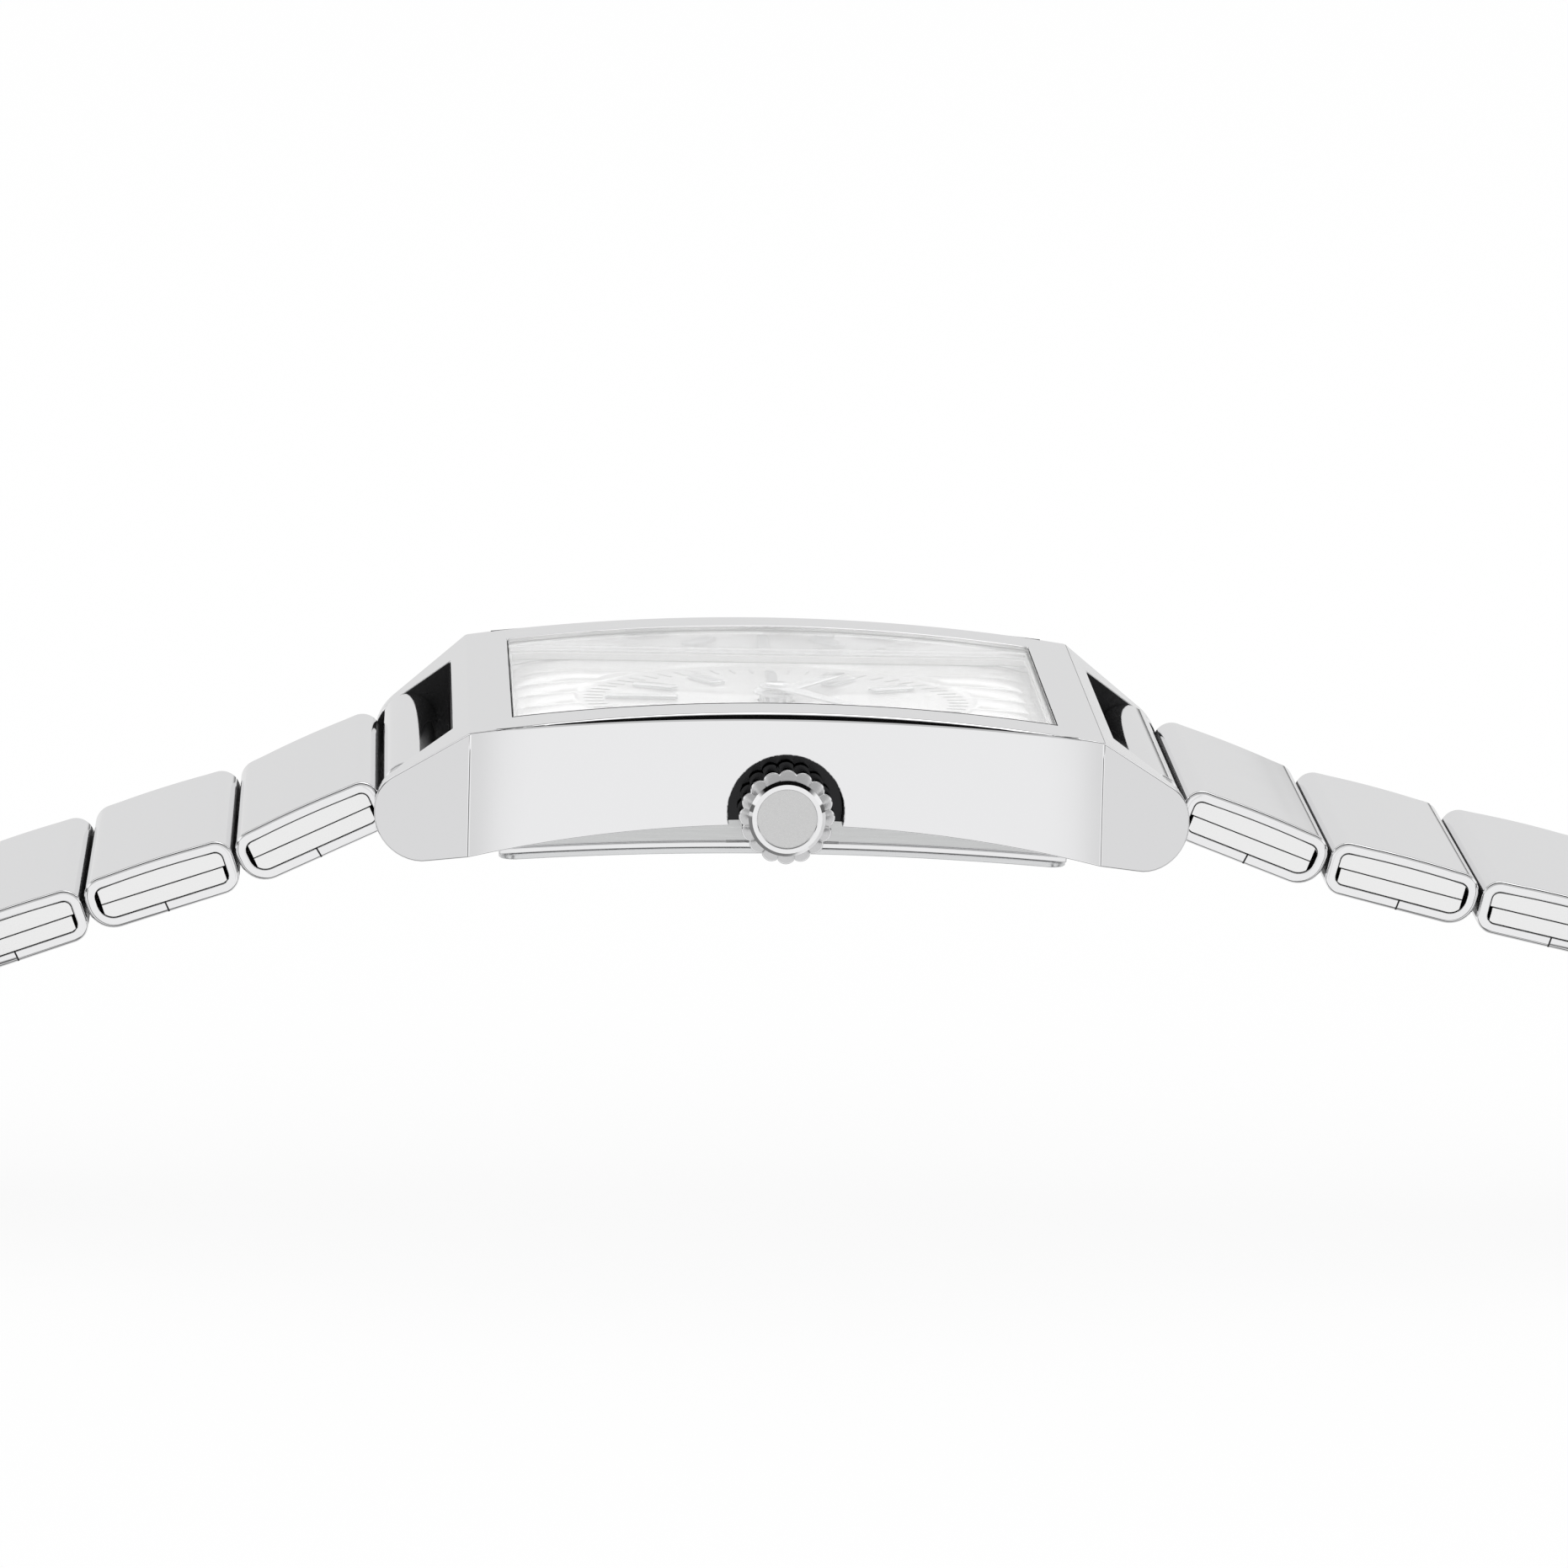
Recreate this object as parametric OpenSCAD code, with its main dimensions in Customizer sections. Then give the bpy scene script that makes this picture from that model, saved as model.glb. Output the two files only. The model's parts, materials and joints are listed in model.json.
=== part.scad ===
// Rectangular wristwatch with an arched case on a folded-link bracelet, standing open as a shallow arch.
// X points to 3 o'clock, Y to 12 o'clock and Z away from the wrist, in millimetres.
// The origin is the middle of the flat land on the case back.

/* [Case] */
// Width across the sides, without the crown
case_w = 26.5; // [26:0.1:28]
// Length between the creases where the lugs begin
case_len = 31; // [30.4:0.1:32.4]
// Height of the creases above the flat land of the case back
crease_z = 6; // [5.9:0.05:6.5]
// Rise of the arched top between the creases
top_rise = 1.2; // [1:0.05:1.6]
// Height of the bevel between top and side, at mid length
bevel_drop = 0.33; // [0.1:0.01:0.5]
// Rise of the arched lower edge of each side
side_rise = 1.85; // [1.4:0.05:2]
// Depth of the sides below the flat land at the creases
side_foot = 0.2; // [0:0.05:0.5]
// Metal strip beside the crystal
bezel_side = 2.75; // [2.4:0.05:3.2]
// Metal strip between a crease and the crystal
bezel_end = 2.1; // [1.8:0.05:2.8]
// Width of the ledge under the crystal
ledge_w = 0.35; // [0.25:0.05:0.6]
// Thickness of the ledge under the crystal
ledge_t = 0.4; // [0.3:0.05:0.6]
// How far the lower band of the case stands back from the sides
band_inset = 1.55; // [1.4:0.05:1.8]
// Height of the lip under that band
lip_h = 0.3; // [0.2:0.05:0.5]

/* [Lugs] */
// Length of a lug beyond its crease
lug_reach = 4.6; // [4.4:0.05:5.6]
// Thickness of a lug at its tip
lug_tip_t = 0.95; // [0.85:0.05:2.9]
// Gap on each side between the links and the lugs
link_side_gap = 0.1; // [0.05:0.01:0.2]
// Radius of the lug's upper nose
nose_r = 2.2; // [1.8:0.1:2.4]
// Radius of the lug's lower heel
heel_r = 2.05; // [1.8:0.05:2.4]
// Height of the nose's widest point
nose_z = 1.5; // [1.3:0.05:1.8]
// How far the heel's middle lies below the nose's
heel_fall = 0.25; // [0.1:0.05:0.4]
// Gap between an end link and the case wall behind it
end_gap = 0.7; // [0.5:0.05:0.9]
// Distance of the spring bar from the lug tip
bar_from_tip = 1.75; // [1.6:0.05:1.9]
// Height of the spring bars
bar_z = 2.33; // [2.1:0.01:2.6]
// Radius of a spring bar
bar_r = 0.65; // [0.55:0.01:0.7]
// Radius of a spring bar's tip
bar_tip_r = 0.4; // [0.3:0.01:0.5]
// Depth that a tip reaches into its lug
bar_tip_len = 1; // [0.6:0.05:1.2]

/* [Crystal] */
// Thickness of the arched glass
crystal_t = 1.2; // [0.9:0.05:1.4]
// Width of the flat rim that the glass sits on
crystal_rim = 0.75; // [0.5:0.05:1]
// Gap between glass and case all round
crystal_gap = 0.03; // [0.02:0.01:0.08]
// Thickness of the gasket under the glass
crystal_gasket_t = 0.25; // [0.15:0.05:0.35]

/* [Dial and hands] */
// Height of the dial's upper face
dial_z = 4.35; // [4.3:0.01:4.5]
// Thickness of the dial plate
dial_t = 0.4; // [0.3:0.05:0.45]
// Gap between dial and case all round
dial_gap = 0.08; // [0.05:0.01:0.15]
// Number of ribs across the dial
rib_count = 7; // [5:1:9]
// Height of a rib
rib_h = 0.1; // [0.06:0.01:0.12]
// Half length of the smooth oval
oval_y = 9.8; // [9.4:0.05:10.5]
// Half width of the smooth oval
oval_x = 9.25; // [8.6:0.05:9.6]
// Half length of the ellipse that the minute track follows
track_y = 9.1; // [8.6:0.05:9.4]
// Half width of that ellipse
track_x = 7.7; // [7.2:0.05:8.2]
// Height of the applied markers
marker_h = 0.2; // [0.12:0.01:0.25]
// Width of a marker
marker_w = 0.8; // [0.5:0.05:1]
// Length of a marker
marker_len = 2.2; // [1.8:0.05:2.6]
// Width of the markers at 3, 6 and 9 o'clock
quarter_w = 0.55; // [0.4:0.05:0.8]
// Length of the markers at 3, 6 and 9 o'clock
quarter_len = 3.6; // [3:0.05:4]
// Length of the hour hand from the centre
hour_hand_len = 6.4; // [5.6:0.1:6.6]
// Length of the minute hand from the centre
minute_hand_len = 8; // [7.4:0.1:8.4]
// Thickness of a hand
hand_t = 0.15; // [0.1:0.01:0.2]
// Clear height between dial markers, hour hand and minute hand
hand_gap = 0.15; // [0.12:0.01:0.2]
// Hour shown
shown_hour = 10; // [0:1:11]
// Minute shown
shown_minute = 9; // [0:1:59]

/* [Movement] */
// Width of the movement from 9 to 3 o'clock
move_x = 15.2; // [14.8:0.1:15.6]
// Length of the movement from 6 to 12 o'clock
move_y = 17.8; // [17.2:0.1:18.4]
// Height of the movement's lower face
move_z = 1.35; // [1.3:0.01:1.45]
// Length of the circuit board from 9 to 3 o'clock
board_len = 13; // [12.4:0.1:13.4]
// Width of the circuit board
board_w = 5.8; // [5.2:0.1:6]
// Thickness of the circuit board
board_t = 0.25; // [0.2:0.01:0.27]
// Length of the coil with its two end discs
coil_len = 8.2; // [7:0.1:9]
// Radius of the coil's winding
coil_r = 0.45; // [0.35:0.01:0.47]
// Radius of the battery
battery_r = 2.9; // [2.4:0.1:3.4]
// Thickness of the battery
battery_t = 1.25; // [1.05:0.05:1.3]
// Radius of the cannon pinion
cannon_r = 0.55; // [0.5:0.01:0.6]
// Wall of the hour wheel's tube
hour_tube_wall = 0.25; // [0.2:0.01:0.3]
// Radius of the fixed centre post
post_r = 0.3; // [0.25:0.01:0.32]
// Radial clearance of everything that turns on something else
running = 0.04; // [0.02:0.01:0.06]

/* [Case back] */
// Thickness of the back's rim
back_t = 0.3; // [0.25:0.05:0.4]
// How far the rim's middle hangs below the flat land
back_drop = 0.1; // [0.05:0.01:0.15]
// How far the rim's ends fall below its middle
back_fall = 0.55; // [0.3:0.05:0.7]
// Radius of the rim's corners
back_corner_r = 1; // [0.6:0.1:1.6]
// Height of the plug inside the case
plug_z = 1.15; // [1.1:0.01:1.2]
// Gap between plug and case
plug_gap = 0.15; // [0.12:0.01:0.2]
// Side of the square flat land
land = 14; // [10:0.5:16]

/* [Crown] */
// Height of the crown's axis
crown_z = 2.28; // [2.2:0.01:2.34]
// Radius over the lobes
crown_r = 2.35; // [2.2:0.05:2.5]
// Number of lobes
lobe_count = 16; // [12:1:20]
// Radius of a lobe
lobe_r = 0.5; // [0.45:0.01:0.55]
// Length of the lobed part
crown_len = 2.4; // [2.2:0.05:2.7]
// Depth of the pocket in the case side
pocket_depth = 1.3; // [1.1:0.05:1.4]
// Radius of the pocket
pocket_r = 2.85; // [2.75:0.05:3]
// Gap between the pocket's floor and the crown
crown_gap = 0.2; // [0.15:0.01:0.3]
// Radius of the raised rim on the crown's face
face_r = 1.81; // [1.6:0.01:1.9]
// Height of that rim
face_h = 0.3; // [0.2:0.01:0.4]
// Radius of the matte disc within the rim
disc_r = 1.48; // [1.3:0.01:1.55]
// Travel of the crown when it is pulled to set the hands
crown_pull = 0.9; // [0.6:0.05:0.95]
// Outer radius of the crown tube
tube_r = 0.95; // [0.9:0.01:1]
// Radius of the stem
stem_r = 0.5; // [0.45:0.01:0.55]

/* [Bracelet] */
// Width of the links
link_w = 17.9; // [17.2:0.1:18]
// Length of a link
link_len = 7.7; // [7.3:0.05:8]
// Thickness of a link at its ends
link_t = 2.7; // [2.6:0.05:2.8]
// How far the top of a link is crowned
link_crown = 0.08; // [0.05:0.01:0.2]
// Thickness of the rolled sheet
sheet_t = 0.53; // [0.45:0.01:0.56]
// Gap between two links
link_gap = 0.15; // [0.12:0.01:0.25]
// Radius of a link's corners toward the case
link_corner_r = 0.95; // [0.7:0.05:1.1]
// Radius of a link's upper corner away from the case
link_nose_r = 1; // [0.95:0.05:1.2]
// Distance of the seam from the end toward the case
seam_at = 3.9; // [3.4:0.1:4.3]
// Width of the seam
seam_w = 0.07; // [0.05:0.01:0.12]
// Width of the hinge tongue
tongue_w = 7.2; // [6:0.1:9]
// Thickness of the hinge tongue
tongue_t = 0.45; // [0.35:0.01:0.5]
// Clear width on each side of the tongue
tongue_side = 0.12; // [0.08:0.01:0.2]
// Radius of a hinge pin
pin_r = 0.33; // [0.28:0.01:0.35]
// Wall of the eye round a hinge pin
eye_wall = 0.23; // [0.18:0.01:0.26]
// Largest inward bend at a hinge, in degrees
bend_max = 30; // [20:1:35]
// Free turn of an end link each way, in degrees
end_link_turn = 4; // [2:1:6]

/* [Clasp] */
// Length of the clasp's blade from its hinge
clasp_len = 24.2; // [22:0.1:26]
// Thickness of the pressed cover
cover_t = 0.6; // [0.5:0.05:0.8]
// Width of the blade
blade_w = 12; // [10:0.1:14]
// Thickness of the blade
blade_t = 0.7; // [0.5:0.05:0.9]
// Length of the catch link from its hinge
catch_len = 6.6; // [6:0.1:7.4]
// Radius of the catch bar
catch_bar_r = 0.55; // [0.45:0.01:0.6]
// Radius of the cover's hinge pin
cover_pin_r = 0.45; // [0.4:0.01:0.5]
// Wall of the blade's knuckle round that pin
knuckle_wall = 0.25; // [0.2:0.01:0.28]
// Height of the cover's underside above the blade's hinge
cover_lift = 1.1; // [1.05:0.01:1.2]
// Depth of the cover's sides below the blade's hinge
cover_side = 0.75; // [0.5:0.05:1]

/* [Hidden] */
// Slope of each link below level as the bracelet stands, from the case outward, in degrees
lower_slopes = [25.5, 18.8, 19.8, 20.3, 21, 21.8, 22.6, 23.4];
upper_slopes = [20.8, 14.1, 12.6, 13.5, 15, 17];
lower_count = len(lower_slopes) - 1;
upper_count = len(upper_slopes);

$fn = 48;
far = 60;
step_over = 0.01;
steel = [0.80, 0.81, 0.82];
satin = [0.72, 0.73, 0.74];
brass = [0.80, 0.68, 0.40];
rubber = [0.16, 0.16, 0.17];

heel_turn = 108;
crease_y = case_len / 2;
side_x = case_w / 2;
window_x = side_x - bezel_side;
window_y = crease_y - bezel_end;
ledge_z = dial_z;
gasket_z = ledge_z + ledge_t;
glass_z = gasket_z + crystal_gasket_t;
lug_span = case_len + 2 * lug_reach;
lug_gap = link_w + 2 * link_side_gap;
lug_tip_w = lug_gap + 2 * lug_tip_t;
band_x = side_x - band_inset;
band_y = crease_y - band_inset;
rim_z = -back_drop;
lip_z = rim_z + back_t;
bar_y = lug_span / 2 - bar_from_tip;
wall_y = bar_y - link_t / 2 - end_gap;
plate_z = crown_z + stem_r + 0.12;
movement_top = dial_z - dial_t;

crown_x = side_x - pocket_depth + crown_gap;
crown_front = crown_x + crown_len;
tube_end = crown_x + crown_pull + 0.7;
crown_bore_x = tube_end + 0.25;
crown_bore_r = tube_r + 0.4;
tube_bore_r = stem_r + running;

hour_z = dial_z + marker_h + hand_gap;
minute_z = hour_z + hand_t + hand_gap;
hour_tube_bore = cannon_r + running;
hour_tube_r = hour_tube_bore + hour_tube_wall;
hub_gap = 0.02;
board_gap = 0.1;
board_y = 2.7;
coil_y = board_y + board_w / 2;
coil_gap = 0.05;
coil_disc_r = coil_r + 0.05;
coil_disc_t = 0.5;
board_top = move_z + board_t + 0.05;
coil_z = board_top + coil_disc_r + coil_gap;
battery_place = [-3.6, -4.9, 0];
wheel_r = 2.6;
wheel_t = 0.25;
wheel_z = movement_top - 0.45;
hour_angle = 30 * shown_hour + shown_minute / 2;
minute_angle = 6 * shown_minute;

half_t = link_t / 2;
pitch = link_len + link_gap;
inner_u = half_t + link_gap;
window_h = half_t - sheet_t;
plate_end = pitch + window_h - 0.2;
plate_step = 0.13;
plate_gap = 0.03;
plate_clear = 0.03;
eye_bore = pin_r + running;
eye_r = eye_bore + eye_wall;
bar_eye_bore = bar_r + running;
bar_eye_r = bar_eye_bore + eye_wall;
notch_w = tongue_w + 2 * tongue_side;
tongue_low = eye_r - 0.02;
stop_angle = 3;

foot_v = 1;
foot_z = chain_end(lower_slopes, lower_count)[1]
    - (catch_len - foot_v) * sin(lower_slopes[lower_count]) - foot_v;
clasp_foot_v = 1.35;
clasp_reach = norm([clasp_len, clasp_foot_v]);
clasp_drop = chain_end(upper_slopes, upper_count)[1] - foot_z;
clasp_slope = asin(clasp_drop / clasp_reach) - atan2(clasp_foot_v, clasp_len);
clasp_chain = concat(upper_slopes, [clasp_slope]);
catch_w = 13;
catch_arm = 1.6;
catch_bar_u = catch_len - foot_v - 0.1;
cover_hinge_v = 0.3;
cover_swing = cover_lift + cover_t - cover_hinge_v;
cover_hinge_u = inner_u + cover_swing + 0.05;
knuckle_r = cover_pin_r + knuckle_wall;
blade_head = cover_hinge_u + knuckle_r + 0.2;

// Height of an arch over its ends, at y
function arch_r(half, rise) = (half * half + rise * rise) / (2 * rise);
function arch(y, half, rise) =
    sqrt(arch_r(half, rise) * arch_r(half, rise) - y * y) - arch_r(half, rise) + rise;
function arch_line(from, to, z, half, rise, steps = 24) =
    [for (i = [0:steps]) let (y = from + (to - from) * i / steps) [y, z + arch(y, half, rise)]];
function turn_points(centre, r, from, to, steps) =
    [for (i = [0:steps]) let (a = from + (to - from) * i / steps) centre + r * [cos(a), sin(a)]];
function flipped(points) = [for (i = [len(points) - 1:-1:0]) [-points[i][0], points[i][1]]];
// Direction of the line from a point that touches a circle, which lies below and beyond it
function touch_slope(point, centre, r) =
    let (d = centre - point) -atan2(d[1], d[0]) - asin(r / norm(d));
// Place of a strand's n-th hinge, as y and z
function chain_end(slopes, n) =
    n == 0 ? [bar_y, bar_z] : chain_end(slopes, n - 1) + pitch * [cos(slopes[n - 1]), -sin(slopes[n - 1])];

module along_x(width) {
    rotate([90, 0, 90])
        linear_extrude(height = width, center = true)
            children();
}

module rod(r, from, to, y = 0, z = 0) {
    translate([from, y, z])
        rotate([0, 90, 0])
            cylinder(r = r, h = to - from);
}

module slab(half_x, half_y, z, height) {
    translate([-half_x, -half_y, z])
        cube([2 * half_x, 2 * half_y, height]);
}

module ring_slab(half_x, half_y, width, z, height) {
    difference() {
        slab(half_x, half_y, z, height);
        slab(half_x - width, half_y - width, z - 1, height + 2);
    }
}

module disc(r, z, height, bore = 0) {
    translate([0, 0, z])
        rotate_extrude()
            translate([bore, 0])
                square([r - bore, height]);
}

// Case: side view outline with lugs, cut to its plan and bevelled
function lug_outline() =
    let (
        nose = [lug_span / 2 - nose_r, nose_z],
        heel = [lug_span / 2 - heel_r, nose_z - heel_fall],
        slope = touch_slope([crease_y, crease_z], nose, nose_r)
    )
    concat(
        turn_points(nose, nose_r, 90 - slope, 0, 8),
        turn_points(heel, heel_r, 0, -heel_turn, 12)
    );

module case_side_view() {
    lug = lug_outline();
    polygon(concat(
        arch_line(-crease_y, crease_y, crease_z, crease_y, top_rise),
        lug,
        arch_line(crease_y, -crease_y, -side_foot, crease_y, side_rise),
        flipped(lug)
    ));
}

module case_plan() {
    quarter = [[lug_tip_w / 2, lug_span], [lug_tip_w / 2, lug_span / 2], [side_x, crease_y]];
    half = concat(quarter, [for (i = [2:-1:0]) [quarter[i][0], -quarter[i][1]]]);
    translate([0, 0, -far / 2])
        linear_extrude(height = far)
            polygon(concat(half, [for (p = half) -p]));
}

module bevel_limit() {
    low = (side_x + crease_z + 0.02) / sqrt(2);
    rise = (top_rise - bevel_drop) / sqrt(2);
    rotate([0, 45, 0])
        along_x(3 * far)
            polygon(concat(
                arch_line(-crease_y, crease_y, low, crease_y, rise),
                [[far, low], [far, -far], [-far, -far], [-far, low]]
            ));
}

// Band below the sides, with a lip along its lower edge
module case_band() {
    along_x(2 * (band_x - 0.15))
        polygon(concat(
            arch_line(-band_y, band_y, lip_z - back_fall, band_y, back_fall),
            [[band_y, crease_z - 1], [-band_y, crease_z - 1]]
        ));
    along_x(2 * band_x)
        polygon(concat(
            arch_line(-band_y, band_y, lip_z - back_fall, band_y, back_fall),
            arch_line(band_y, -band_y, lip_z + lip_h - back_fall, band_y, back_fall)
        ));
}

module case_middle() {
    color(steel)
    difference() {
        union() {
            intersection() {
                along_x(case_w + 1) case_side_view();
                case_plan();
                bevel_limit();
                mirror([1, 0, 0]) bevel_limit();
            }
            case_band();
        }
        slab(window_x, window_y, gasket_z, far);
        slab(window_x - ledge_w, window_y - ledge_w, 0, far);
        slab(window_x, window_y, -far, far + ledge_z);
        for (s = [-1, 1]) {
            translate([-lug_gap / 2, s > 0 ? wall_y : -wall_y - far, -far / 2])
                cube([lug_gap, far, far]);
            rod(bar_tip_r + 0.02, -lug_gap / 2 - bar_tip_len - 0.1, lug_gap / 2 + bar_tip_len + 0.1,
                s * bar_y, bar_z);
        }
        rod(pocket_r, side_x - pocket_depth, side_x + 1, 0, crown_z);
        rod(tube_r + 0.01, 0, side_x, 0, crown_z);
    }
}

module crystal() {
    x = window_x - crystal_gap;
    y = window_y - crystal_gap;
    color([0.85, 0.92, 0.95, 0.35])
    difference() {
        along_x(2 * x)
            polygon(concat(
                arch_line(-y, y, crease_z, crease_y, top_rise),
                [[y, glass_z], [-y, glass_z]]
            ));
        along_x(2 * (x - crystal_rim))
            polygon(concat(
                arch_line(crystal_rim - y, y - crystal_rim, crease_z - crystal_t, crease_y, top_rise),
                [[y - crystal_rim, 0], [crystal_rim - y, 0]]
            ));
    }
}

module crystal_gasket() {
    color(rubber)
        ring_slab(window_x - crystal_gap, window_y - crystal_gap, ledge_w - crystal_gap,
            gasket_z, crystal_gasket_t);
}

module oval_prism(grow, z, height) {
    translate([0, 0, z])
        linear_extrude(height = height)
            polygon([for (i = [0:59]) let (a = 6 * i) [(oval_x + grow) * cos(a), (oval_y + grow) * sin(a)]]);
}

module dial() {
    x = window_x - dial_gap;
    y = window_y - dial_gap;
    rib_x = window_x - ledge_w - 0.05;
    rib_y = window_y - ledge_w - 0.05;
    rib_w = 2 * rib_x / rib_count;
    rib_r = arch_r(rib_w / 2, rib_h);
    color([0.93, 0.93, 0.92])
    difference() {
        union() {
            slab(x, y, dial_z - dial_t, dial_t);
            difference() {
                intersection() {
                    slab(rib_x, rib_y, dial_z - dial_t / 2, 1);
                    union() {
                        for (i = [0:rib_count - 1])
                            translate([-rib_x + (i + 0.5) * rib_w, 0, dial_z + rib_h - rib_r])
                                rotate([90, 0, 0])
                                    cylinder(r = rib_r, h = 2 * rib_y, center = true, $fn = 240);
                    }
                }
                oval_prism(0, dial_z, 1);
            }
        }
        cylinder(r = hour_tube_r + 0.1, h = far);
    }
}

// Hour markers stand inside the minute track, each pointing to the centre
module hour_markers() {
    color(steel)
    for (hour = [1:11]) {
        place = [track_x * sin(30 * hour), track_y * cos(30 * hour)];
        quarter = hour % 3 == 0;
        w = quarter ? quarter_w : marker_w;
        len = quarter ? quarter_len : marker_len;
        edge = norm(place) - (quarter ? 0.6 : 1.1);
        rotate([0, 0, atan2(place[1], place[0]) - 90])
            translate([-w / 2, edge - len, dial_z])
                cube([w, len, marker_h]);
    }
}

module hand(reach, hub_r, bore, root_w, tip_w, z) {
    difference() {
        union() {
            disc(hub_r, z, hand_t);
            translate([0, 0, z])
                linear_extrude(height = hand_t)
                    polygon([
                        [-root_w / 2, 0], [-tip_w / 2, reach - tip_w / 2], [0, reach],
                        [tip_w / 2, reach - tip_w / 2], [root_w / 2, 0]
                    ]);
        }
        disc(bore, z - 1, 3);
    }
}

module hour_hand() {
    color(steel)
        rotate([0, 0, -hour_angle])
            hand(hour_hand_len, hour_tube_r + 0.3, hour_tube_r + hub_gap, 1, 0.7, hour_z);
}

module minute_hand() {
    hub_r = cannon_r + 0.3;
    color(steel)
        rotate([0, 0, -minute_angle]) {
            hand(minute_hand_len, hub_r, cannon_r + hub_gap, 0.9, 0.6, minute_z);
        }
}

module cannon_pinion() {
    top = minute_z + hand_t + 0.1;
    color(brass)
    difference() {
        disc(cannon_r, plate_z + 0.35, top - plate_z - 0.35);
        disc(post_r + running, 0, top - 0.15);
    }
}

module hour_wheel() {
    color(brass)
    union() {
        disc(hour_tube_r, wheel_z, hour_z + hand_t - wheel_z, hour_tube_bore);
        disc(wheel_r, wheel_z, wheel_t, hour_tube_bore);
    }
}

// Movement: main plate toward the dial, bridge plate toward the wrist, inside a holder
module main_plate() {
    color(brass)
    union() {
        difference() {
            slab(move_x / 2, move_y / 2, plate_z, movement_top - plate_z);
            disc(wheel_r + 0.15, wheel_z - 0.1, 2);
            disc(cannon_r + 0.15, plate_z + 0.2, 2);
        }
        disc(post_r, plate_z, minute_z - plate_z - 0.1);
    }
}

module bridge_plate() {
    color(satin)
    difference() {
        slab(move_x / 2, move_y / 2, move_z, plate_z - move_z);
        translate(battery_place)
            cylinder(r = battery_r + 0.05, h = move_z + battery_t + 0.03);
        translate([-board_len / 2 - board_gap, board_y - board_gap, 0])
            cube([board_len + 2 * board_gap, board_w + 2 * board_gap, board_top]);
        translate([-coil_len / 2 - coil_gap, coil_y - coil_disc_r - coil_gap, 0])
            cube([coil_len + 2 * coil_gap, 2 * (coil_disc_r + coil_gap), coil_z + coil_disc_r + coil_gap]);
        rod(stem_r + running, move_x / 2 - 1.6, move_x, 0, crown_z);
    }
}

module battery() {
    color(steel)
        translate(battery_place + [0, 0, move_z])
            cylinder(r = battery_r, h = battery_t);
}

module coil() {
    end = coil_len / 2;
    color([0.72, 0.42, 0.25])
    union() {
        rod(coil_r, -end + 0.1, end - 0.1, coil_y, coil_z);
        rod(coil_disc_r, -end, coil_disc_t - end, coil_y, coil_z);
        rod(coil_disc_r, end - coil_disc_t, end, coil_y, coil_z);
    }
}

module circuit_board() {
    color([0.15, 0.35, 0.2])
        translate([-board_len / 2, board_y, move_z + 0.02])
            cube([board_len, board_w, board_t]);
}

module movement_holder() {
    color([0.9, 0.9, 0.88])
    difference() {
        slab(window_x - 0.1, window_y - 0.1, move_z, movement_top - move_z);
        slab(move_x / 2 + 0.05, move_y / 2 + 0.05, 0, far);
        rod(stem_r + 0.15, 0, far, 0, crown_z);
    }
}

module back_outline(inset = 0) {
    r = back_corner_r - inset;
    for (sx = [-1, 1])
        for (sy = [-1, 1])
            translate([sx * (band_x - inset - r), sy * (band_y - inset - r), -far / 2])
                cylinder(r = r, h = far);
    slab(band_x - inset - r, band_y - inset, -far / 2, far);
    slab(band_x - inset, band_y - inset - r, -far / 2, far);
}

module back_layer(width, half, low, high) {
    along_x(width)
        polygon(concat(
            arch_line(-half, half, low - back_fall, band_y, back_fall),
            is_undef(high) ? [[half, plug_z], [-half, plug_z]]
                : arch_line(half, -half, high - back_fall, band_y, back_fall)
        ));
}

module case_back() {
    color(satin)
    difference() {
        union() {
            intersection() {
                back_layer(case_w, band_y, rim_z, lip_z - step_over);
                back_outline();
            }
            back_layer(2 * (window_x - plug_gap), window_y - plug_gap, (rim_z + lip_z) / 2);
        }
        ring_slab(window_x, window_y, plug_gap + 0.45, lip_z + 0.35, 2);
        slab(land / 2, land / 2, -far, far);
    }
}

module case_back_gasket() {
    color(rubber)
        ring_slab(window_x - 0.05, window_y - 0.05, plug_gap + 0.36, lip_z + 0.38, 0.4);
}

// Crown, stem and tube
module crown() {
    color(steel)
    translate([0, 0, crown_z])
    difference() {
        union() {
            rod(crown_r - lobe_r / 2, crown_x, crown_front);
            rod(face_r, crown_front - 0.5, crown_front + face_h);
            for (i = [0:lobe_count - 1])
                rotate([i * 360 / lobe_count, 0, 0])
                    rod(lobe_r, crown_x, crown_front, 0, crown_r - lobe_r, $fn = 32);
        }
        rod(disc_r, crown_front + face_h - 0.12, crown_front + 1);
        rod(crown_bore_r, crown_x - 1, crown_bore_x);
    }
}

module stem() {
    color(satin)
        rod(stem_r, move_x / 2 - 1.1, crown_bore_x, 0, crown_z);
}

module crown_gasket() {
    color(rubber)
    difference() {
        rod(crown_bore_r - 0.02, crown_x + 0.1, crown_x + 0.6, 0, crown_z);
        rod(tube_r + 0.02, crown_x - 1, crown_x + 1, 0, crown_z);
    }
}

module crown_tube() {
    color(satin)
    difference() {
        rod(tube_r, window_x + 0.1, tube_end, 0, crown_z);
        rod(tube_bore_r, 0, far, 0, crown_z);
    }
}

module spring_bars() {
    color(satin)
    for (s = [-1, 1]) {
        rod(bar_r, -lug_gap / 2 + 0.15, lug_gap / 2 - 0.15, s * bar_y, bar_z);
        rod(bar_tip_r, -lug_gap / 2 - bar_tip_len, lug_gap / 2 + bar_tip_len, s * bar_y, bar_z);
    }
}

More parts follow.
